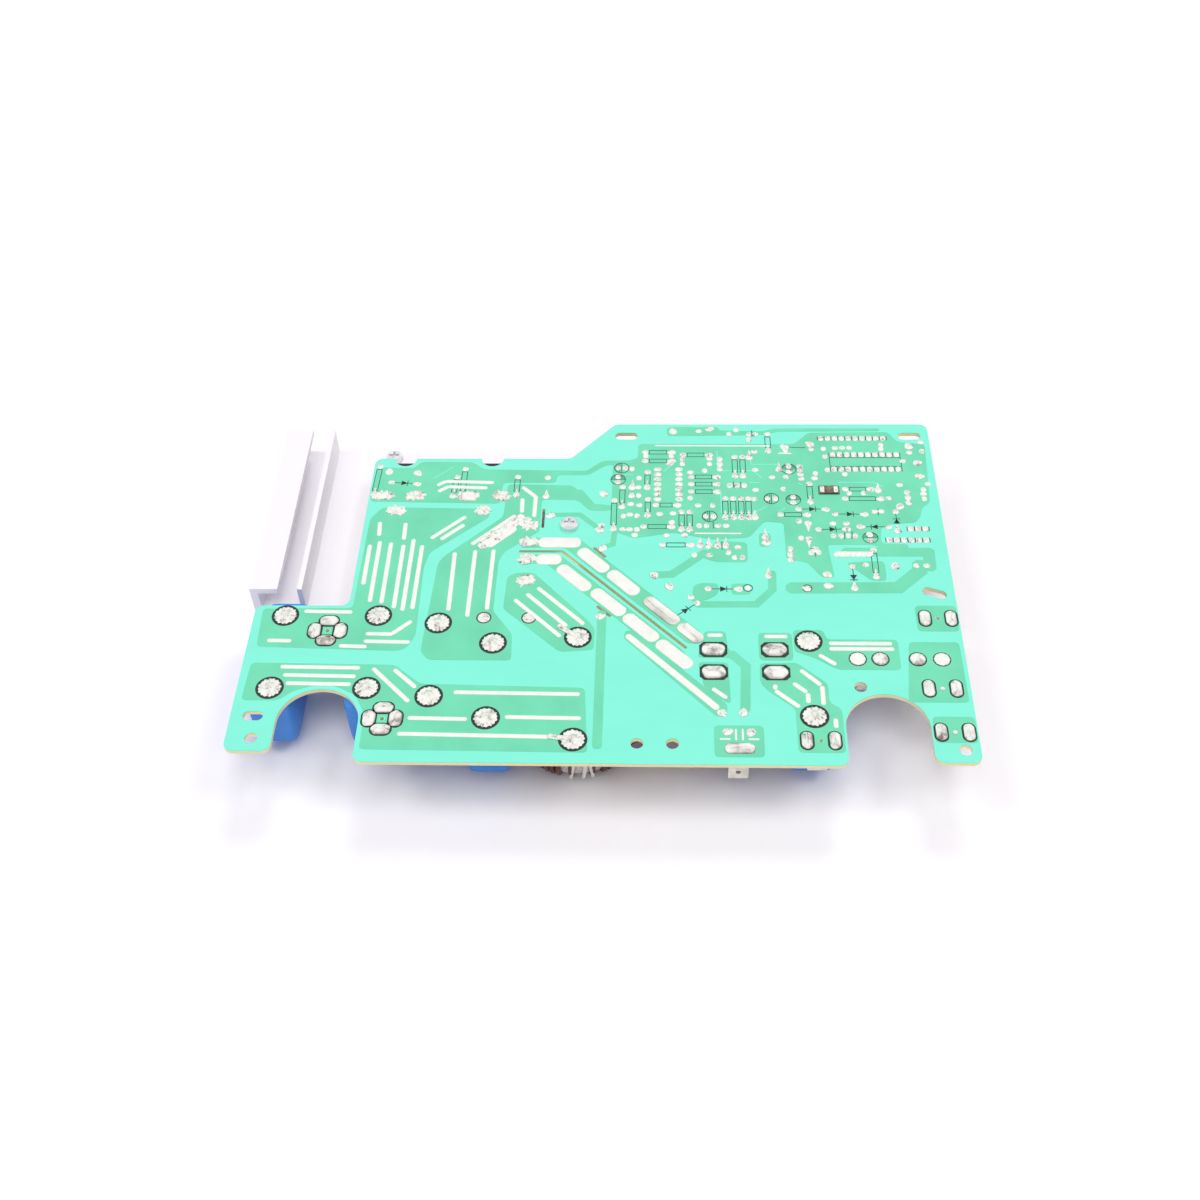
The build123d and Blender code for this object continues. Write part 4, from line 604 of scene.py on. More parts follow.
def piece(name, parts, key, hides=(), flat=(), paint=None):
    """Joins stacks of arrays into one mesh object that rides on the board.

    A part is vertices (n, 3) in metres, lists of faces (sides, heads and feet, one row a face) and flow. flat has
    the numbers of those kinds of faces that are flat shaded. Solder keeps its flow for the finish to read, and
    paint is a colour of each vertex."""
    verts, flow = (np.concatenate([part[i] for part in parts]) for i in (0, 2))
    starts = np.cumsum([0] + [len(part[0]) for part in parts])
    faces = [rows + start for start, part in zip(starts, parts) for rows in part[1]]
    counts = np.concatenate([np.full(len(rows), rows.shape[1]) for rows in faces])
    corners = np.concatenate([rows.ravel() for rows in faces])
    smooth = np.concatenate([np.full(len(rows), number % 3 not in flat) for number, rows in enumerate(faces)])
    mesh = bpy.data.meshes.new(name)
    mesh.vertices.add(len(verts))
    mesh.vertices.foreach_set("co", np.asarray(verts, np.float32).ravel())
    mesh.loops.add(len(corners))
    mesh.loops.foreach_set("vertex_index", corners.astype(np.int32))
    mesh.polygons.add(len(counts))
    mesh.polygons.foreach_set("loop_start", (np.cumsum(counts) - counts).astype(np.int32))
    mesh.polygons.foreach_set("use_smooth", smooth)
    mesh.update(calc_edges=True)
    if key.endswith("solder"):
        layer = mesh.attributes.new("flow", "FLOAT_VECTOR", "POINT")
        layer.data.foreach_set("vector", np.asarray(flow, np.float32).ravel())
    if paint is not None:
        layer = mesh.attributes.new("paint", "FLOAT_COLOR", "POINT")
        layer.data.foreach_set("color", np.asarray(paint, np.float32).ravel())
    obj = bpy.data.objects.new(name, mesh)
    bpy.context.scene.collection.objects.link(obj)
    mesh.materials.append(finish_for(key))
    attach(obj, "root")
    if hides:
        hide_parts(*hides)


def ring_faces(count, rings, sides, closed=False):
    """Quads between neighbouring rings of count stacks, and the head and foot of each stack."""
    index = np.arange(count * rings * sides).reshape(count, rings, sides)
    low = index if closed else index[:, :-1]
    high = np.roll(index, -1, axis=1) if closed else index[:, 1:]
    quads = np.stack([low, np.roll(low, -1, axis=2), np.roll(high, -1, axis=2), high], axis=-1).reshape(-1, 4)
    return [quads] if closed else [quads, index[:, -1], index[:, 0, ::-1]]


def mounds(middles, turns, halves, radii, heights, base, rise, sides=24, teeth=0, bite=0.0, tails=0.0, seed=0,
           widths=0.0, lean=0.0):
    """Round-ended heaps that stand on a level.

    Ring k is a circle of radius times shrink k, drawn out by half its length and half its width to each side,
    turned and moved to its middle, at base + height times climb k. teeth waves, each with its own phase, bite
    into the circle at the foot, lean draws it out of round by its second and third waves, and tails draw its
    front half out to a point and narrow it."""
    middles = np.asarray(middles, float).reshape(-1, 2)
    count = len(middles)
    turn, half, radius, height, tail, width = (
        np.broadcast_to(np.asarray(value, float), (count,))[:, None, None]
        for value in (turns, halves, radii, heights, tails, widths))
    around = ((np.arange(sides) + 0.5) / sides * 2 * np.pi)[None, None, :]
    c, s = np.cos(around), np.sin(around)
    shrink, climb = (np.array(column)[None, :, None] for column in zip(*rise))
    phase = np.random.default_rng(seed).uniform(0, 2 * np.pi, (4, count, 1, 1))
    coarse = 0.5 * np.cos((teeth // 2 + 1) * around + phase[1])
    wave = 1 + bite * shrink ** 2 * (np.cos(teeth * around + phase[0]) + coarse)
    wave = wave + lean * shrink * (np.cos(2 * around + phase[2]) + 0.7 * np.cos(3 * around + phase[3]))
    ahead = np.maximum(c, 0)
    x = radius * shrink * wave * c * (1 + tail * ahead ** 2) + half * np.sign(c)
    y = radius * shrink * wave * s * (1 - np.minimum(tail, 1) * NARROWING * ahead) + width * np.sign(s)
    z = base + height * climb + 0 * x
    spread = np.stack([middles[:, 0, None, None] + x * np.cos(turn) - y * np.sin(turn),
                       middles[:, 1, None, None] + x * np.sin(turn) + y * np.cos(turn), z], axis=-1)
    shift = np.random.default_rng(seed + 1).uniform(0, 50, (count, 1, 1))
    flow = np.stack(np.broadcast_arrays(c + shift, s, climb * 0.6 + 0 * x), axis=-1)
    return spread.reshape(-1, 3), ring_faces(count, len(rise), sides), flow.reshape(-1, 3)


def runs(pairs):
    """Middles, turns and half lengths of straight runs between pairs of places."""
    start, end = np.moveaxis(np.asarray(pairs, float).reshape(-1, 2, 2), 1, 0)
    along = end - start
    return (start + end) / 2, np.arctan2(along[:, 1], along[:, 0]), np.linalg.norm(along, axis=1) / 2


def bars(pairs, width, low, rise, height, sides=16, corner=None):
    """Bars whose overall ends are the given places: round-ended, or with corners of a given radius."""
    middles, turns, halves = runs(pairs)
    radius = corner or width / 2
    return mounds(middles, turns, np.maximum(halves - radius, 0), radius, height, low, rise, sides,
                  widths=width / 2 - radius)


def chain(points):
    """Pairs of neighbouring points."""
    points = np.asarray(points, float)
    return np.stack([points[:-1], points[1:]], axis=1)


def lines(pairs, width, low, height):
    """Flat round-ended lines whose axes end at the given places; neighbours differ a little in height."""
    middles, turns, halves = runs(pairs)
    steps = 1 + LEVEL_STEP * (np.arange(len(middles)) % 4)
    return mounds(middles, turns, halves, width / 2, height * steps, low, FLAT, 8)


def rounded(points, radius, steps=4):
    """A closed outline whose corners become parabolic arcs that begin and end radius from the corner."""
    points = np.asarray(points, float)
    arms = []
    for step in (1, -1):
        way = np.roll(points, step, axis=0) - points
        length = np.linalg.norm(way, axis=1, keepdims=True)
        arms.append(points + way * np.minimum(radius, length * 0.45) / length)
    t = np.linspace(0, 1, steps)[None, :, None]
    arc = (1 - t) ** 2 * arms[0][:, None] + 2 * t * (1 - t) * points[:, None] + t ** 2 * arms[1][:, None]
    return arc.reshape(-1, 2)


def circle(middle, radius, sides=16):
    """A ring of points."""
    around = np.arange(sides) / sides * 2 * np.pi
    return np.asarray(middle) + radius * np.stack([np.cos(around), np.sin(around)], axis=1)


def wound(loop, way):
    """A loop that runs anticlockwise for way 1 and clockwise for way -1."""
    area = np.sum(loop[:, 0] * np.roll(loop[:, 1], -1) - loop[:, 1] * np.roll(loop[:, 0], -1))
    return loop if area * way > 0 else loop[::-1]


def plate(outline, holes, low, high):
    """A flat plate: the outline less its holes, filled at two levels and walled between them."""
    loops = [wound(outline, 1)] + [wound(hole, -1) for hole in holes]
    flat = np.concatenate(loops)
    fill = np.array(tessellate_polygon([[Vector((*p, 0)) for p in loop] for loop in loops]))
    a, b, c = (flat[fill[:, i]] for i in range(3))
    cross = (b - a)[:, 0] * (c - a)[:, 1] - (b - a)[:, 1] * (c - a)[:, 0]
    fill = np.where(cross[:, None] > 0, fill, fill[:, ::-1])
    count = len(flat)
    walls = []
    start = 0
    for loop in loops:
        here = start + np.arange(len(loop))
        then = np.roll(here, -1)
        walls.append(np.stack([here, then, then + count, here + count], axis=1))
        start += len(loop)
    verts = np.concatenate([np.c_[flat, np.full(count, level)] for level in (low, high)])
    return verts, [fill + count, fill[:, ::-1], np.concatenate(walls)], np.zeros_like(verts)


def raised(flat, levels):
    """Points (paths, steps, 2) with a level of each step added."""
    return np.concatenate([flat, np.broadcast_to(levels, flat.shape[:2])[..., None]], axis=2)


def tubes(paths, radius, sides=8, closed=True):
    """Round wires: a circle carried square to the path, set out from the middle of each path's points."""
    before = np.roll(paths, 1, axis=1)
    after = np.roll(paths, -1, axis=1)
    if not closed:
        before[:, 0] = paths[:, 0]
        after[:, -1] = paths[:, -1]
    tangent = after - before
    tangent /= np.linalg.norm(tangent, axis=-1, keepdims=True)
    out = paths - paths.mean(axis=1, keepdims=True)
    out -= tangent * np.sum(out * tangent, axis=-1, keepdims=True)
    out /= np.linalg.norm(out, axis=-1, keepdims=True)
    side = np.cross(tangent, out)
    around = (np.arange(sides) / sides * 2 * np.pi)[None, None, :, None]
    verts = paths[:, :, None] + radius * (out[:, :, None] * np.cos(around) + side[:, :, None] * np.sin(around))
    verts = verts.reshape(-1, 3)
    return verts, ring_faces(len(paths), paths.shape[1], sides, closed), np.zeros_like(verts)


def spindles(ends, level, profile):
    """Turned bodies that lie between pairs of places: profile gives radii at shares of the length."""
    middles, turns, halves = runs(ends)
    share, radius = (np.array(column) for column in zip(*profile))
    around = (np.arange(SPINDLE_SIDES) / SPINDLE_SIDES * 2 * np.pi)[None, None, :]
    along = (halves[:, None] * (2 * share[None, :] - 1))[:, :, None] + 0 * around
    across = radius[None, :, None] * np.cos(around) + 0 * along
    rise = radius[None, :, None] * np.sin(around) + 0 * along
    c, s = np.cos(turns)[:, None, None], np.sin(turns)[:, None, None]
    verts = np.stack([middles[:, 0, None, None] + along * c - across * s,
                      middles[:, 1, None, None] + along * s + across * c, level + rise], axis=-1).reshape(-1, 3)
    return verts, ring_faces(len(middles), len(share), SPINDLE_SIDES), np.zeros_like(verts)


def inside(point, loop):
    """Whether a point lies in a loop, by counting the edges to its right."""
    a, b = loop, np.roll(loop, -1, axis=0)
    crossing = (a[:, 1] > point[1]) != (b[:, 1] > point[1])
    rise = np.where(crossing, b[:, 1] - a[:, 1], 1)
    at = a[:, 0] + (point[1] - a[:, 1]) / rise * (b[:, 0] - a[:, 0])
    return bool(np.sum(crossing & (at > point[0])) % 2)


def beside(places, reach, axis):
    """Points a reach in mm to each side of given places, along the length (0) or the width (1)."""
    offset = np.zeros((2, 2))
    offset[:, axis] = (-reach * MM, reach * MM)
    return (spot(places)[:, None] + offset[None]).reshape(-1, 2)


def row(middle, count, pitch, axis=0):
    """A straight row of points about a middle, a pitch in mm apart."""
    offset = np.zeros((count, 2))
    offset[:, axis] = (np.arange(count) - (count - 1) / 2) * pitch * MM
    return np.asarray(middle) + offset


def corners_of(node):
    """The low and high corners of a CAD node's box."""
    return (np.array(corner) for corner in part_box(node))


class BoardOperator:
    """What the operators of this board share."""

    bl_options = {"REGISTER", "UNDO"}

    @property
    def sizes(self):
        """The panel's sizes."""
        return bpy.context.scene.fryer_board_sizes


class FRYER_OT_lacquer(BoardOperator, Operator):
    """Lacquer the laminate and lay the copper fields and tracks under it"""

    bl_idname = "fryer_board.lacquer"
    bl_label = "Lacquered board"

    def execute(self, context):
        dress("laminate", "circuit_board")
        foil = self.sizes.foil
        sights = spot(TABS + TERMINALS)
        parts = []
        # Fields and tracks that meet differ a little in height, so that no two faces share a level
        for number, field in enumerate(FIELDS):
            outline = rounded(spot(field), FIELD_CORNER)
            holes = [circle(sight, SIGHT_RADIUS) for sight in sights if inside(sight, outline)]
            parts.append(plate(outline, holes, TOP, TOP + foil * (1 + LEVEL_STEP * (number % 3))))
        for number, (width, *points) in enumerate(TRACKS):
            parts.append(lines(chain(spot(points)), width * MM, TOP, foil * (0.5 + 0.037 * number)))
        piece("copper_fields", parts, "copper", flat=ALL)
        gaps = [lines(chain(spot(points)), GAP_WIDTH, TOP, foil * 1.25) for points in GAPS]
        piece("bare_gaps", gaps, "laminate", flat=ALL)
        return {"FINISHED"}


class FRYER_OT_tin(BoardOperator, Operator):
    """Dip the bare tracks: narrow strips, wide bars and the finest lines"""

    bl_idname = "fryer_board.tin"
    bl_label = "Tinned tracks"

    def execute(self, context):
        sizes = self.sizes
        # Ridges across the last long strip, where the solder was drawn along it by hand
        start, end = spot(LONG_STRIPS[-1])
        places = start + (end - start) * np.linspace(0.08, 0.92, 7)[:, None] - [0, 0.25 * MM]
        parts = [
            bars(spot(STRIPS), sizes.strip, TOP, DOME, sizes.tin),
            bars(spot(HAIR_STRIPS), sizes.hair, TOP, DOME, sizes.tin * 0.7),
            bars(spot(LONG_STRIPS), LONG_WIDTH, TOP, DOME, sizes.tin),
            mounds(places, 0.7, 0.35 * MM, 1.1 * MM, sizes.tin * 2.2, TOP, BEAD, 20),
        ]
        piece("dipped_strips", parts, "tin", ("tin_strips",), FEET)
        # The two drawn bars' solder has darker tones and a dark rim, partly burnt flux and partly painted shade
        for name, pairs, key, nodes in (("dipped_bars", BARS, "tin", ("tin_bars",)),
                                        ("drawn_bars", DRAWN_BARS, "wiped_solder", ())):
            wide = bars(spot(pairs), sizes.bar, TOP, DOME, sizes.tin * 1.6, 36, BAR_CORNER)
            piece(name, [wide], key, nodes, FEET)
        return {"FINISHED"}


class FRYER_OT_ring_joints(BoardOperator, Operator):
    """Raise the ringed joints of the capacitors and the choke"""

    bl_idname = "fryer_board.ring_joints"
    bl_label = "Ringed joints"

    def execute(self, context):
        dress("ink", "ring_inks")
        # The leads of the film capacitors, then the two of the ring choke, whose solder runs out in tails
        choke = beside([CHOKE_MIDDLE], CHOKE_LEAD_REACH, 1)
        places = np.concatenate([beside(FILM_MIDDLES, FILM_PITCH / 2, 1), choke])
        ends = choke + np.array([[-8.0, 1.2], [-7.0, 5.0]]) * MM
        small = spot(SMALL_RINGS)
        low = TOP + 0.1 * MM
        # Cones, the tips of the leads, the choke's tails and the two small rings
        parts = [
            mounds(places, 0, 0, self.sizes.ring, 1.5 * MM, low, FILLET, 64, 16, 0.055),
            mounds(places, 0, 0, 0.55 * MM, 0.25 * MM, low + 1.38 * MM, DOME, 12),
            bars(np.stack([choke, ends], axis=1), 2.0 * MM, low, BEAD, 0.8 * MM),
            mounds(small, 0, 0, 2.15 * MM, 0.35 * MM, TOP, DOME, 24),
        ]
        piece("ring_solder", parts, "solder", ("ring_joints",), FEET)
        inks = [mounds(small, 0, 0, 2.5 * MM, 0.1 * MM, TOP, FLAT, 32),
                mounds(places, 0, 0, 4.55 * MM, 0.09 * MM, TOP, FLAT, 48)]
        piece("small_ring_ink", inks, "ink", flat=ALL)
        return {"FINISHED"}


class FRYER_OT_pad_joints(BoardOperator, Operator):
    """Raise the joints of the terminals, tabs, filter and fuse, each in its printed rim"""

    bl_idname = "fryer_board.pad_joints"
    bl_label = "Rimmed joints"

    def rimmed(self, name, nodes, places, turns, size, rim, teeth, bite, sides=32, key="painted_reflection_solder", cut=0):
        """Ovals of solder of one length, width and height in mm, with printed rims beneath them.

        A rim with a cut has its corners cut off. Unless another finish is given, the solder is darkened with
        painted reflection and a painted shade rim."""
        length, width, height = size
        half = (length - width) / 2 * MM
        radius, long, wide, points = width / 2 + rim, half, 0, sides
        if cut:
            radius, long, wide, points = cut, (length / 2 + rim - cut) * MM, (width / 2 + rim - cut) * MM, 8
        ink = mounds(places, turns, long, radius * MM, 0.1 * MM, TOP, FLAT, points, widths=wide)
        piece(name + "_rims", [ink], "ink", flat=ALL)
        oval = mounds(places, turns, half, width / 2 * MM, height * MM, TOP, BEAD, sides, teeth, bite)
        piece(name + "_solder", [oval], key, nodes, FEET)

    def execute(self, context):
        upright = math.pi / 2
        petals = np.concatenate([beside(TERMINALS, TERMINAL_REACH, axis) for axis in (0, 1)])
        turns = np.repeat([upright, 0], len(petals) // 2)
        self.rimmed("petal", ("terminal_joints",), petals, turns, (6.4, 4.3, 1.0), 0.4, 5, 0.05)
        self.rimmed("filter", ("filter_joints",), spot(FILTER_PADS), 0, (7.9, 5.3, 1.0), 0.75, 4, 0.04, cut=2.6)
        # The two middle fuse pads get solder darkened with painted reflection, the outer two bright tin
        for name, nodes, pads, key in (("fuse", ("fuse_joints",), FUSE_PADS[1:3], "painted_reflection_solder"),
                                       ("bright_fuse", (), FUSE_PADS[::3], "tin")):
            self.rimmed(name, nodes, spot(pads), 0, (5.2, 5.2, 0.9), 0.3, 14, 0.03, 48, key)
        legs = beside(TABS, TAB_REACH, 0)
        self.rimmed("tab", ("tab_joints",), legs, upright, (6.6, 3.7, 1.0), 0.4, 3, 0.03)
        # Solder darkened with painted reflection and a painted shade rim, on the front tab and in two sight holes
        front = mounds(spot(FRONT_TAB), 0, 2.7 * MM, 2.1 * MM, 0.7 * MM, TOP, BEAD, 32, 5, 0.05)
        filled = mounds(spot(TABS[1:3]), 0, 0, 0.85 * MM, 0.25 * MM, TOP, DOME, 16)
        piece("front_tab_solder", [front, filled], "painted_reflection_solder", (), FEET)
        return {"FINISHED"}


class FRYER_OT_power_joints(BoardOperator, Operator):
    """Raise the ragged joints of the power parts"""

    bl_idname = "fryer_board.power_joints"
    bl_label = "Power joints"

    def execute(self, context):
        pads = spot(POWER_PADS)
        halves = np.array([1.7, 1.1, 1.2, 1.7, 0.5, 0.9, 0.6, 1.0, 0.8, 0.9]) * MM
        # Seven spatters about each joint, drawn outwards
        chance = np.random.default_rng(8)
        way = (np.arange(7) + chance.uniform(-0.35, 0.35, (len(halves), 7))) / 7 * 2 * np.pi
        reach = np.stack([(halves[:, None] + SPATTER_REACH) * np.cos(way), SPATTER_REACH * np.sin(way)], axis=-1)
        lumps = np.array(POWER_LUMPS)
        # Ragged blobs, the tips of the leads, the spatters, and the lumps on one bar
        parts = [
            mounds(pads, 0, halves, 2.3 * MM, 1.4 * MM, TOP, FILLET, 48, 9, 0.10, lean=0.11),
            mounds(pads, 0.4, 0.25 * MM, 0.5 * MM, 0.15 * MM, TOP + 1.35 * MM, DOME, 12),
            mounds(pads[:, None] + reach, way.ravel(), 0, chance.uniform(0.45, 0.95, way.size) * MM, 0.6 * MM, TOP,
                   BEAD, 16, tails=chance.uniform(0.2, 1.1, way.size), seed=9),
            mounds(spot(lumps[:, :2]), 0.98, 0.6 * MM, lumps[:, 2] * MM, lumps[:, 3] * MM, TOP, BEAD, 40, 7, 0.07,
                   seed=12, lean=0.10),
        ]
        piece("power_solder", parts, "pale_solder", ("power_joints",), FEET)
        return {"FINISHED"}


class FRYER_OT_signal_joints(BoardOperator, Operator):
    """Raise the small joints of the signal parts, drawn out where the board left the solder bath"""

    bl_idname = "fryer_board.signal_joints"
    bl_label = "Signal joints"

    def execute(self, context):
        dot = self.sizes.dot
        upright = np.pi / 2
        chips = [row(place, 10, CHIP_PITCH) for place in beside([CONTROLLER], CHIP_ROWS_APART / 2, 1)]
        chips += [row(place, 7, CHIP_PITCH, 1) for place in beside([COMPARATOR], CHIP_ROWS_APART / 2, 0)]
        pins = [row(spot(place), count, HEADER_PITCH) for *place, count in HEADERS]
        pins += [row(spot(place), 2, RADIAL_PITCH, axis) for *place, axis in RADIALS]
        pins += [row(spot(place), 3, CHIP_PITCH, axis) for *place, axis in TRANSISTORS]
        first, last = np.moveaxis(spans(RESISTORS[:-3] + OUTLINES + DIODE_JOINTS), 1, 0)
        away = last - first
        lean = np.arctan2(away[:, 1], away[:, 0])
        # Joints are drawn out along the board's width, the way that it left the bath
        tails = np.where(np.abs(away[:, 1]) > np.abs(away[:, 0]), 1.7, 0.5)
        chance = np.random.default_rng(5)
        lone, small = spot(LONE_PADS), spot(SMALL_PADS)
        drawn = np.array(DRAWN_PADS)
        # The two soldered ends of the chip resistor rise a little above it
        chip = beside([CHIP_RESISTOR], 2.4, 0)
        chip_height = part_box("chip_resistor")[1][2] - TOP + 0.12 * MM
        # Chips, other pins, first and last ends, lone joints, surface joints, drawn joints, the chip resistor
        parts = [
            mounds(np.concatenate(chips), np.repeat([upright, 0], [20, 14]), 0.35 * MM, dot * 0.85, 0.6 * MM, TOP, BEAD,
                   14, seed=1),
            mounds(np.concatenate(pins), upright, 0.2 * MM, dot * 0.9, 0.7 * MM, TOP, FILLET, 14, seed=2),
            mounds(first, lean, 0, dot * 0.95, 0.7 * MM, TOP, FILLET, 14, seed=3),
            mounds(last, lean + np.pi, 0, dot * 1.05, 0.7 * MM, TOP, FILLET, 24, tails=tails, seed=4),
            mounds(lone, chance.uniform(0, 6.3, len(lone)), 0, dot * 1.2, 0.8 * MM, TOP, FILLET, 14, tails=0.3, seed=5),
            mounds(small, chance.choice([0, upright], len(small)), 0.2 * MM, dot * 0.8, 0.45 * MM, TOP, BEAD, 14,
                   seed=6),
            mounds(spot(drawn[:, :2]), drawn[:, 2] * upright, 0, dot * 1.1, 0.7 * MM, TOP, FILLET, 24, tails=1.9,
                   seed=7),
            mounds(chip, 0, 0.3 * MM, 0.65 * MM, chip_height, TOP, DOME, 16, widths=1.05 * MM),
        ]
        piece("signal_solder", parts, "pale_solder", ("signal_joints",), FEET)
        return {"FINISHED"}


class FRYER_OT_ink(BoardOperator, Operator):
    """Print the outlines and symbols of the signal parts"""

    bl_idname = "fryer_board.ink"
    bl_label = "Printed outlines"

    def ways(self, start, end):
        """Steps of 1 mm along a run and to its left."""
        along = (end - start) / np.linalg.norm(end - start) * MM
        return along, np.array([-along[1], along[0]])

    def execute(self, context):
        low = TOP + 0.02 * MM
        high = self.sizes.foil * 1.5
        pairs = []
        for start, end in spans(RESISTORS[:-3] + OUTLINES):
            along, aside = self.ways(start, end)
            a, b, aside = start + along * 1.5, end - along * 1.9, aside * 0.95
            pairs.append(chain([a - aside, b - aside, b + aside, a + aside, a - aside]))
        arrows = []
        for start, end in spans(DIODE_JOINTS[:-2] + PRINTED_DIODES):
            along, aside = self.ways(start, end)
            tip, foot = ((start + end) / 2 + along * reach for reach in (1.1, -1.1))
            pairs += [chain([start, end]), chain([tip - aside * 1.2, tip + aside * 1.2])]
            head = np.array([tip, foot + aside * 1.15, foot - aside * 1.15])
            arrows.append(plate(head, [], low, low + high))
        # A circle halved between its two leads, one half hatched
        for *place, axis in RADIALS:
            loop = circle(spot(place), 2.6 * MM, 24)
            half = np.roll(loop, 6 * (axis - 1), axis=0)[:13]
            pairs += [chain(np.r_[loop, loop[:1]]), chain(half[[0, 12]]), np.stack([half[1:6], half[11:6:-1]], axis=1)]
        for place in spot(RINGED_PADS):
            loop = circle(place, 1.55 * MM, 20)
            pairs.append(chain(np.r_[loop, loop[:1]]))
        # Ticks between the pins of the connectors and of the controller
        rows = [row(spot(place), count + 1, HEADER_PITCH) for *place, count in HEADERS]
        rows += [row(place, 11, CHIP_PITCH) for place in beside([CONTROLLER], CHIP_ROWS_APART / 2, 1)]
        ticks = np.concatenate(rows)
        reach = np.array([0, 0.95 * MM])
        pairs += [np.stack([ticks - reach, ticks + reach], axis=1), spans(MARKS)]
        for place, size in ((CONTROLLER, (25.4, 4.6)), (CHIP_RESISTOR, (7.2, 3.9))):
            corner = np.array([[-1, -1], [1, -1], [1, 1], [-1, 1], [-1, -1]]) * np.array(size) / 2 * MM
            pairs.append(chain(spot(place) + corner))
        strokes = lines(np.concatenate(pairs), self.sizes.ink, low, high)
        piece("printed_outlines", [strokes, *arrows], "ink", flat=ALL)
        return {"FINISHED"}


class FRYER_OT_choke(BoardOperator, Operator):
    """Wind the ring choke and tie it"""

    bl_idname = "fryer_board.choke"
    bl_label = "Ring choke"

    def turns(self, degrees, slant, radius, inner, corner):
        """Closed turns about a ring: at each angle, a rounded rectangle in the plane of the ring's axis.

        slant is how far the angle moves on from the rectangle's foot to its head."""
        low, high = corners_of("choke_winding")
        outer = (high[0] - low[0]) / 2 - radius
        foot, head = low[2] + radius, low[2] + CHOKE_HEIGHT - radius
        loop = rounded(np.array([[inner, foot], [outer, foot], [outer, head], [inner, head]]), corner, 5)
        reach, level = loop[:, 0], loop[:, 1]
        angle = np.radians(degrees)[:, None] + np.outer(np.radians(slant), (level - foot) / (head - foot) - 0.5)
        away = np.stack([np.cos(angle), np.sin(angle)], axis=-1)
        return tubes(raised((low[:2] + high[:2]) / 2 + reach[None, :, None] * away, level), radius)

    def execute(self, context):
        wire = self.sizes.wire / 2
        inner = CHOKE_INNER + wire
        # The turns lie close to each side of the front, and two lone ones stand where the ties cross
        angles = np.r_[-125:-105:6, -94, -73, -61:-41:6, np.linspace(-30, 222, 19)]
        turns = self.turns(angles, 0 * angles, wire, inner, 3.5 * MM)
        piece("choke_turns", [turns], "wire", ("choke_winding",))
        dress("core", "choke_core")
        ties = self.turns([-90.5, -79.0, -76.0], [9.0, 7.0, -7.0], STRING, inner, 2.5 * MM)
        piece("choke_ties", [ties], "nylon")
        return {"FINISHED"}


class FRYER_OT_filter(BoardOperator, Operator):
    """Wind the mains filter's two coils and dress its core"""

    bl_idname = "fryer_board.filter"
    bl_label = "Mains filter"

    def execute(self, context):
        dress("ferrite", "filter_core", "transformer_core")
        dress("phenolic", "filter_base", "transformer_base")
        dress("tape", "transformer_winding")
        wire = FILTER_WIRE / 2
        for node in ("filter_coil_front", "filter_coil_back"):
            low, high = corners_of(node)
            count = int((high[2] - low[2]) / (2 * wire))
            levels = low[2] + wire + np.arange(count) * 2 * wire
            (x, y), (far_x, far_y) = low[:2] + wire, high[:2] - wire
            loop = rounded([[x, y], [far_x, y], [far_x, far_y], [x, far_y]], 2.4 * MM, 5)
            paths = raised(np.broadcast_to(loop, (count,) + loop.shape), levels[:, None])
            piece(node + "_turns", [tubes(paths, wire, 6)], "wire")
            dress("wire", node)
        return {"FINISHED"}


class FRYER_OT_film_cases(BoardOperator, Operator):
    """Mould the film capacitors' blue cases, crowned a little on every side"""

    bl_idname = "fryer_board.film_cases"
    bl_label = "Film capacitors"

    def execute(self, context):
        # A superellipse of power 9, inset at the two ends: level as a share of the height, inset in mm
        share, inset = np.array([(0.0, 2.2), (0.004, 1.3), (0.02, 0.6), (0.06, 0.2), (0.2, 0.05), (0.5, 0.0),
                                 (0.9, 0.05), (1.0, 0.3)]).T[:, :, None]
        sides = 64
        around = ((np.arange(sides) + 0.5) / sides * 2 * np.pi)[None, :]
        bend = [np.sign(wave) * np.abs(wave) ** (2 / 9) for wave in (np.cos(around), np.sin(around))]
        for node in [f"coil_capacitor_{number}" for number in range(1, 5)] + ["mains_capacitor"]:
            low, high = corners_of(node)
            middle, half = (low + high) / 2, (high - low) / 2
            x, y = (middle[i] + (half[i] - inset * MM) * bend[i] for i in (0, 1))
            z = low[2] + (BASE - low[2]) * share + 0 * x
            verts = np.stack([x, y, z], axis=-1).reshape(-1, 3)
            case = verts, ring_faces(1, len(share), sides), np.zeros_like(verts)
            piece(node + "_case", [case], "case", (node,), HEADS)
        return {"FINISHED"}


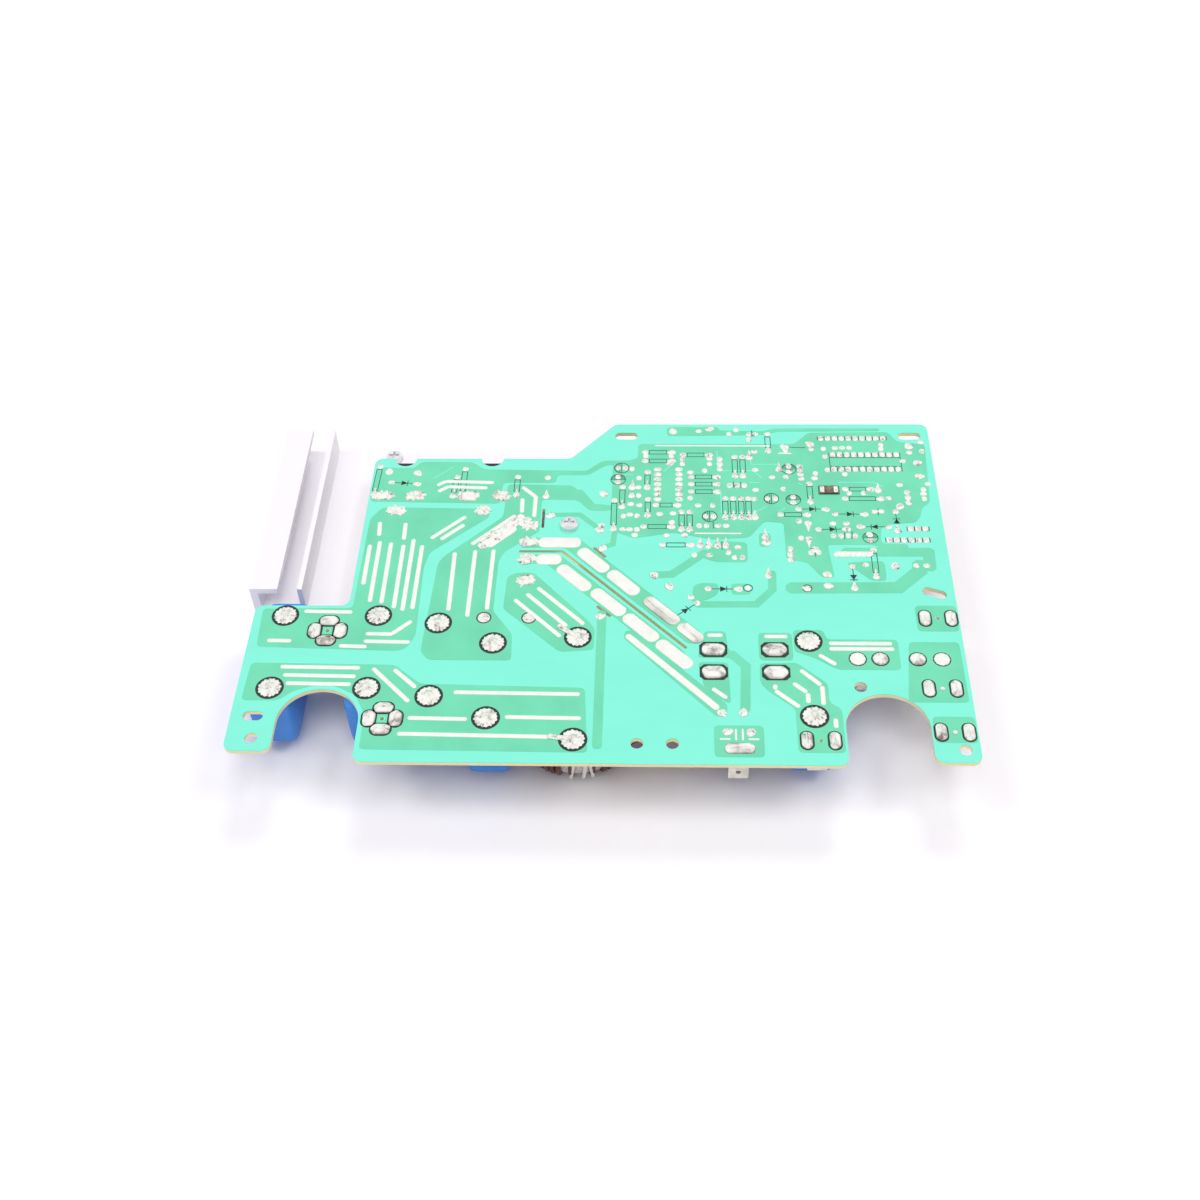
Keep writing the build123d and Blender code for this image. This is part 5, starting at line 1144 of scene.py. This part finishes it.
class FRYER_OT_axial_parts(BoardOperator, Operator):
    """Turn the resistors with their colour rings, the diodes with their cathode rings, and bend their leads"""

    bl_idname = "fryer_board.axial_parts"
    bl_label = "Resistors and diodes"

    def leads(self, ends, level):
        """Wires from one hole down to the body's level, along it, and up to the other hole."""
        start, end = ends[:, 0], ends[:, 1]
        bend = 0.5 * MM
        along = (end - start) / np.linalg.norm(end - start, axis=1, keepdims=True) * bend
        flat = np.stack([start, start, start + along, end - along, end, end], axis=1)
        return tubes(raised(flat, [BASE, level + bend, level, level, level + bend, BASE]), 0.28 * MM, 6, closed=False)

    def bodies(self, ends, level, shape, bands, plain, palette, seed):
        """Spindles and their paint: bands are shares of the length between which a ring's colour lies."""
        edges = np.array(bands).ravel()
        cuts = np.unique(np.r_[[share for share, radius in shape], edges - 0.002, edges + 0.002])
        body = spindles(ends, level, list(zip(cuts, np.interp(cuts, *zip(*shape)) * MM)))
        paint = np.ones((len(ends), len(cuts), SPINDLE_SIDES, 4))
        paint[..., :3] = linear(plain)
        colours = np.array([linear(text) for text in palette])
        chosen = np.random.default_rng(seed).integers(0, len(colours), (len(ends), len(bands)))
        for number, (first, last) in enumerate(bands):
            within = (cuts > first) & (cuts < last)
            paint[:, within, :, :3] = colours[chosen[:, number]][:, None, None, :]
        return body, paint.reshape(-1, 4)

    def execute(self, context):
        level = BASE - 1.6 * MM
        bone = ((0.2, 0.3), (0.206, 0.8), (0.24, 1.1), (0.33, 1.08), (0.38, 0.9), (0.62, 0.9), (0.67, 1.08),
                (0.76, 1.1), (0.794, 0.8), (0.8, 0.3))
        barrel = ((0.25, 0.3), (0.255, 0.9), (0.28, 1.05), (0.72, 1.05), (0.745, 0.9), (0.75, 0.3))
        bands = ((0.26, 0.3), (0.42, 0.47), (0.53, 0.58), (0.7, 0.74))
        rings = ("#5A2E18", "#1C1C1C", "#B3261E", "#D9761E", "#E3C22A", "#3E7D3A", "#2C4C9B", "#6B6B6B")
        for name, table, slot, body in (
                ("resistor", RESISTORS, "tan_lacquer", (bone, bands, "#D8B98C", rings, 3)),
                ("diode", DIODES, "black_epoxy", (barrel, ((0.62, 0.69),), "#1E1F21", ("#D4D5D8",), 4))):
            ends = spans(table)
            part, paint = self.bodies(ends, level, *body)
            piece(name + "_bodies", [part], "paint", (name + "s",), paint=paint)
            piece(name + "_leads", [self.leads(ends, level)], "tab")
        return {"FINISHED"}


class FRYER_OT_hardware(BoardOperator, Operator):
    """Dress the heat sink, screws, tabs, terminals, chips and connectors"""

    bl_idname = "fryer_board.hardware"
    bl_label = "Hardware and chips"

    def execute(self, context):
        dress("aluminium", "heat_sink")
        dress("steel", "board_screw", "sink_screw", "package_screw_left", "package_screw_right", "coil_screw_back",
              "coil_screw_front")
        dress("tab", "spade_tab_back", "spade_tab_corner", "spade_tab_front", "spade_tab_inner", "spade_tab_middle",
              "coil_terminal_back", "coil_terminal_front", "fuse_clip_left", "fuse_clip_right")
        dress("glass", "fuse")
        dress("epoxy", "bridge_rectifier", "power_transistor_left", "power_transistor_right", "transistors",
              "controller_chip", "comparator_chip")
        dress("nylon", "fan_connector", "panel_connector", "sensor_connector")
        dress("dip", "varistor")
        dress("glaze", "chip_resistor")
        dress("can", "electrolytic_capacitors")
        return {"FINISHED"}


class FRYER_OT_stage(BoardOperator, Operator):
    """Lay the pale floor, hang the soft lights and set the camera"""

    bl_idname = "fryer_board.stage"
    bl_label = "Studio"

    def sun(self, name, away, strength, spread):
        """A far soft light that shines from a direction; reflections show the white studio instead of it."""
        lamp = bpy.data.lights.new(name, "SUN")
        lamp.energy = strength
        lamp.angle = math.radians(spread)
        obj = bpy.data.objects.new(name, lamp)
        obj.visible_glossy = False
        obj.matrix_world = Vector(away).to_track_quat("Z", "Y").to_matrix().to_4x4()
        bpy.context.scene.collection.objects.link(obj)

    def execute(self, context):
        scene = context.scene
        scene.view_settings.view_transform = "Standard"
        mesh = bpy.data.meshes.new("floor")
        far = FLOOR_REACH
        mesh.from_pydata([(-far, -far, 0), (far, -far, 0), (far, far, 0), (-far, far, 0)], [], [(0, 1, 2, 3)])
        floor = bpy.data.objects.new("floor", mesh)
        scene.collection.objects.link(floor)
        # Seamless white paper: it keeps the board's shadow
        paper = finish("seamless_paper", Base_Color=WHITE, Roughness=0.9, Specular_IOR_Level=0.1)
        mesh.materials.append(paper[0])
        # A white studio where it is seen, in reflections too; what it lights is dimmer and a little violet
        world = bpy.data.worlds.new("studio")
        world.use_nodes = True
        tree = world.node_tree
        path = add(tree, "ShaderNodeLightPath").outputs
        seen = maths(tree, "MAXIMUM", path["Is Camera Ray"], path["Is Glossy Ray"])
        seen = maths(tree, "MAXIMUM", seen, path["Is Transmission Ray"])
        background = tree.nodes["Background"]
        tree.links.new(mixed(tree, seen, FILL_COLOUR, WHITE), background.inputs["Color"])
        tree.links.new(ranged(tree, seen, FILL_STRENGTH, 1.0), background.inputs["Strength"])
        scene.world = world
        for softbox in SOFTBOXES:
            self.sun(*softbox)
        camera = bpy.data.cameras.new("camera")
        camera.lens = LENS
        camera.sensor_width = 36.0
        camera.clip_start = 0.01
        obj = bpy.data.objects.new("camera", camera)
        placing = Matrix.Translation(CAMERA_PLACE)
        for degrees, axis in CAMERA_TURNS:
            placing = placing @ Matrix.Rotation(math.radians(degrees), 4, axis)
        obj.matrix_world = placing
        scene.collection.objects.link(obj)
        scene.camera = obj
        return {"FINISHED"}


STEPS = (FRYER_OT_lacquer, FRYER_OT_tin, FRYER_OT_ring_joints, FRYER_OT_pad_joints, FRYER_OT_power_joints,
         FRYER_OT_signal_joints, FRYER_OT_ink, FRYER_OT_choke, FRYER_OT_filter, FRYER_OT_film_cases,
         FRYER_OT_axial_parts, FRYER_OT_hardware, FRYER_OT_stage)


class FRYER_PT_board(Panel):
    """The board's pieces, sizes and colours"""

    bl_idname = "FRYER_PT_board"
    bl_label = "Fryer main board"
    bl_space_type = "VIEW_3D"
    bl_region_type = "UI"
    bl_category = "Board"

    def draw(self, context):
        for group in (context.scene.fryer_board_sizes, context.scene.fryer_board_colours):
            column = self.layout.column(align=True)
            for name in group.__annotations__:
                column.prop(group, name)
        column = self.layout.column(align=True)
        for step in STEPS:
            column.operator(step.bl_idname)


CLASSES = (FryerBoardSizes, FryerBoardColours) + STEPS + (FRYER_PT_board,)


def register():
    """Adds the classes and their properties to Blender."""
    for item in CLASSES:
        bpy.utils.register_class(item)
    bpy.types.Scene.fryer_board_sizes = PointerProperty(type=FryerBoardSizes)
    bpy.types.Scene.fryer_board_colours = PointerProperty(type=FryerBoardColours)


def unregister():
    """Takes them out again."""
    del bpy.types.Scene.fryer_board_colours
    del bpy.types.Scene.fryer_board_sizes
    for item in reversed(CLASSES):
        bpy.utils.unregister_class(item)


def main():
    """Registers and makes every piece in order."""
    register()
    for step in STEPS:
        group, name = step.bl_idname.split(".")
        getattr(getattr(bpy.ops, group), name)()


if __name__ == "__main__":
    main()
